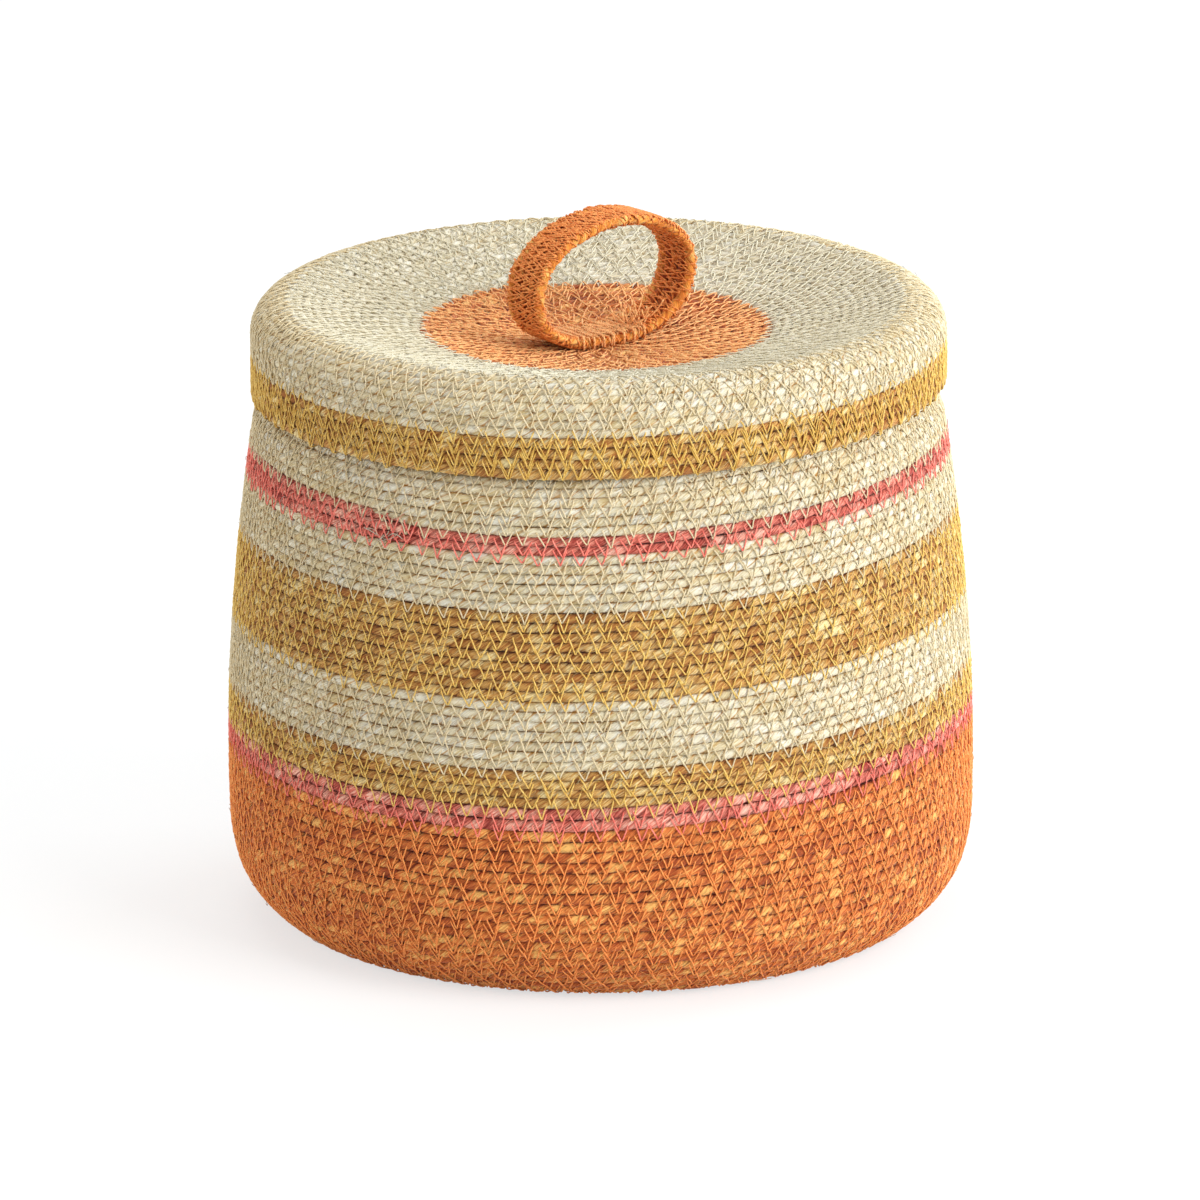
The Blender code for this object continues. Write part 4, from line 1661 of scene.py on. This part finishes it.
    def _tuft(self, rng: np.random.Generator) -> TubeMesh:
        """Raise the loose ends of thread inside the foot, right of its middle.

        Args:
            rng: Source of where they start and how they bend.

        Returns:
            Their mesh.
        """
        mesh, make = TubeMesh(), self.tuft
        share = np.linspace(0.0, 1.0, make.points)
        for _ in range(make.ends):
            along = self.girth - rng.uniform(*make.before_foot)
            reach = rng.uniform(*make.reach)
            path = along - reach * share * rng.uniform(*make.along)
            across = rng.uniform(*make.across) + reach / self.pitch * share * rng.normal(0.0, make.spread)
            rise = rng.uniform(*make.rise) * reach * share ** make.rise_power
            points, out, _ = self.place(path, across, -self.cord.thickness - make.root - rise)
            mesh.add(*self.thread.lie(points, out))
        return mesh

    def _foot_tie(self, node: str, rng: np.random.Generator) -> TubeMesh:
        """Twist one stitch over the strap's foot from two threads, from lid to lid.

        Args:
            node: The stitch's node.
            rng: Source of its sway.

        Returns:
            Its mesh.
        """
        make, corner = self.tie, self.tie.corner
        low, high = (np.array(end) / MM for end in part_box(node))
        half, top = 0.5 * (high[1] - low[1]) - make.radius, high[2] - make.radius
        side = [(half, low[2] + make.radius * 0.5)]
        side += [(half - corner * (1.0 - math.cos(bend)), top - corner * (1.0 - math.sin(bend)))
                 for bend in np.linspace(0.0, 0.5 * math.pi, make.corner_points)]
        route = np.array([(-across, up) for across, up in side] + side[::-1])
        spans = np.concatenate(([0.0], np.cumsum(np.linalg.norm(np.diff(route, axis=0), axis=1))))
        spots = np.arange(0.0, spans[-1], make.step)
        middle = 0.5 * (low[0] + high[0]) + self.shift
        points = np.stack((middle + make.sway.along(rng, spots), np.interp(spots, spans, route[:, 0]),
                           np.interp(spots, spans, route[:, 1])), axis=1)
        sideways = np.tile((1.0, 0.0, 0.0), (len(points), 1))
        over = np.cross(unit(np.gradient(points, axis=0)), sideways)
        mesh = TubeMesh()
        for strand in (0.0, math.pi):
            angle = (spots * make.twist + strand)[:, None]
            path = points + make.apart * (sideways * np.cos(angle) + over * np.sin(angle))
            mesh.add(*self.thread.wrap(path, sideways))
        return mesh


def towards(azimuth: float, elevation: float) -> Vector:
    """Return the direction from the basket to a place in the studio.

    Args:
        azimuth: Degrees about the axis; 0 is on the -Y side, 90 on the +X side.
        elevation: Degrees above the floor.

    Returns:
        A unit vector.
    """
    around, up = math.radians(azimuth), math.radians(elevation)
    return Vector((math.sin(around) * math.cos(up), -math.cos(around) * math.cos(up), math.sin(up)))


@dataclass(frozen=True)
class Lamp:
    """A soft, square light that faces the basket; its colour is linear."""

    name: str
    azimuth: float
    elevation: float
    distance: float
    size: float
    power: float
    colour: tuple[float, float, float] = (1.0, 1.0, 1.0)
    aim_height: float = 120.0

    def hang(self) -> None:
        """Hang the lamp."""
        lamp = bpy.data.lights.new(self.name, "AREA")
        lamp.energy = self.power
        lamp.color = self.colour
        lamp.size = self.size * MM
        holder = bpy.data.objects.new(self.name, lamp)
        spot = towards(self.azimuth, self.elevation)
        holder.location = spot * self.distance * MM + Vector((0.0, 0.0, self.aim_height * MM))
        holder.rotation_euler = spot.to_track_quat("Z", "Y").to_euler()
        bpy.context.scene.collection.objects.link(holder)


@dataclass
class Studio:
    """The floor, the light and the camera.

    The key hangs right of the camera and a warm fill left of it. A lamp above and behind lights
    the lid, and a cool one on the far right lights the basket's edge.
    """

    lamps: tuple[Lamp, ...] = (
        Lamp("key", 18.0, 26.0, 2600.0, 1800.0, 70.0),
        Lamp("fill", -110.0, 20.0, 3000.0, 2000.0, 22.5, (1.0, 0.92, 0.82)),
        Lamp("above", 160.0, 70.0, 2600.0, 1800.0, 19.0),
        Lamp("edge", 92.0, 24.0, 2800.0, 1800.0, 37.0, (0.86, 1.07, 1.24)))
    elevation: float = 16.3
    azimuth: float = -36.0
    distance: float = 5000.0
    aim_height: float = 126.2
    roll: float = -0.3
    sensor: float = 36.0
    lens: float = 370.5
    sight: float = 50000.0
    floor_size: float = 12000.0
    floor_drop: float = 0.5
    floor_colour: tuple[float, float, float, float] = (0.86, 0.86, 0.85, 1.0)
    floor_roughness: float = 0.9
    paper_share: float = 0.6
    paper_glow: float = 1.1
    daylight: float = 0.5

    def build(self) -> None:
        """Make the floor, the lights, the world and the camera."""
        self._floor()
        for lamp in self.lamps:
            lamp.hang()
        self._world()
        self._camera()

    def _floor(self) -> None:
        """Make the floor, which is white as seen, keeps a soft shadow and is clear from below."""
        half = 0.5 * self.floor_size * MM
        mesh = bpy.data.meshes.new("floor")
        mesh.from_pydata([(-half, -half, 0.0), (half, -half, 0.0), (half, half, 0.0), (-half, half, 0.0)],
                         [], [(0, 1, 2, 3)])
        floor = bpy.data.objects.new("floor", mesh)
        floor.location.z = -self.floor_drop * MM
        bpy.context.scene.collection.objects.link(floor)
        material, nodes, shader = new_material("floor")
        shader.inputs["Base Color"].default_value = self.floor_colour
        shader.inputs["Roughness"].default_value = self.floor_roughness
        paper = nodes.add("ShaderNodeEmission", {"Strength": self.paper_glow}).outputs[0]
        share = nodes.math("MULTIPLY", seen_directly(nodes), self.paper_share)
        above = nodes.add("ShaderNodeMixShader", {0: share, 1: shader.outputs[0], 2: paper}).outputs[0]
        below = nodes.add("ShaderNodeNewGeometry").outputs["Backfacing"]
        clear = nodes.add("ShaderNodeBsdfTransparent").outputs[0]
        either = nodes.add("ShaderNodeMixShader", {0: below, 1: above, 2: clear})
        nodes.link(either.outputs[0], material.node_tree.nodes["Material Output"].inputs["Surface"])
        mesh.materials.append(material)

    def _world(self) -> None:
        """Give even light from all round, and white where the camera looks past the floor."""
        world = bpy.data.worlds.new("studio")
        world.use_nodes = True
        bpy.context.scene.world = world
        nodes = NodeTree(world.node_tree)
        sky = world.node_tree.nodes["Background"].inputs
        sky["Color"].default_value = (1.0, 1.0, 1.0, 1.0)
        more = nodes.math("MULTIPLY", seen_directly(nodes), 1.0 - self.daylight)
        nodes.link(nodes.math("ADD", more, self.daylight), sky["Strength"])

    def _camera(self) -> None:
        """Place the camera at the photograph's angle."""
        data = bpy.data.cameras.new("camera")
        data.lens = self.lens
        data.sensor_width = self.sensor
        data.clip_end = self.sight * MM
        camera = bpy.data.objects.new("camera", data)
        back = towards(self.azimuth, self.elevation)
        aim = Vector((0.0, 0.0, self.aim_height * MM))
        spin = Matrix.Rotation(math.radians(self.roll), 4, "Z")
        camera.matrix_world = (Matrix.Translation(aim + back * self.distance * MM)
                               @ back.to_track_quat("Z", "Y").to_matrix().to_4x4() @ spin)
        bpy.context.scene.collection.objects.link(camera)
        bpy.context.scene.camera = camera


def main() -> None:
    """Build the basket, the lid, its handle and the studio."""
    logging.basicConfig(level=logging.INFO, format="%(message)s")
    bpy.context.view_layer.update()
    scene = bpy.context.scene
    scene.view_settings.view_transform = "Standard"
    shop = Workshop()
    shop.make()
    Basket(shop).build()
    Lid(shop).build()
    Handle(shop).build()
    Studio().build()


if __name__ == "__main__":
    main()
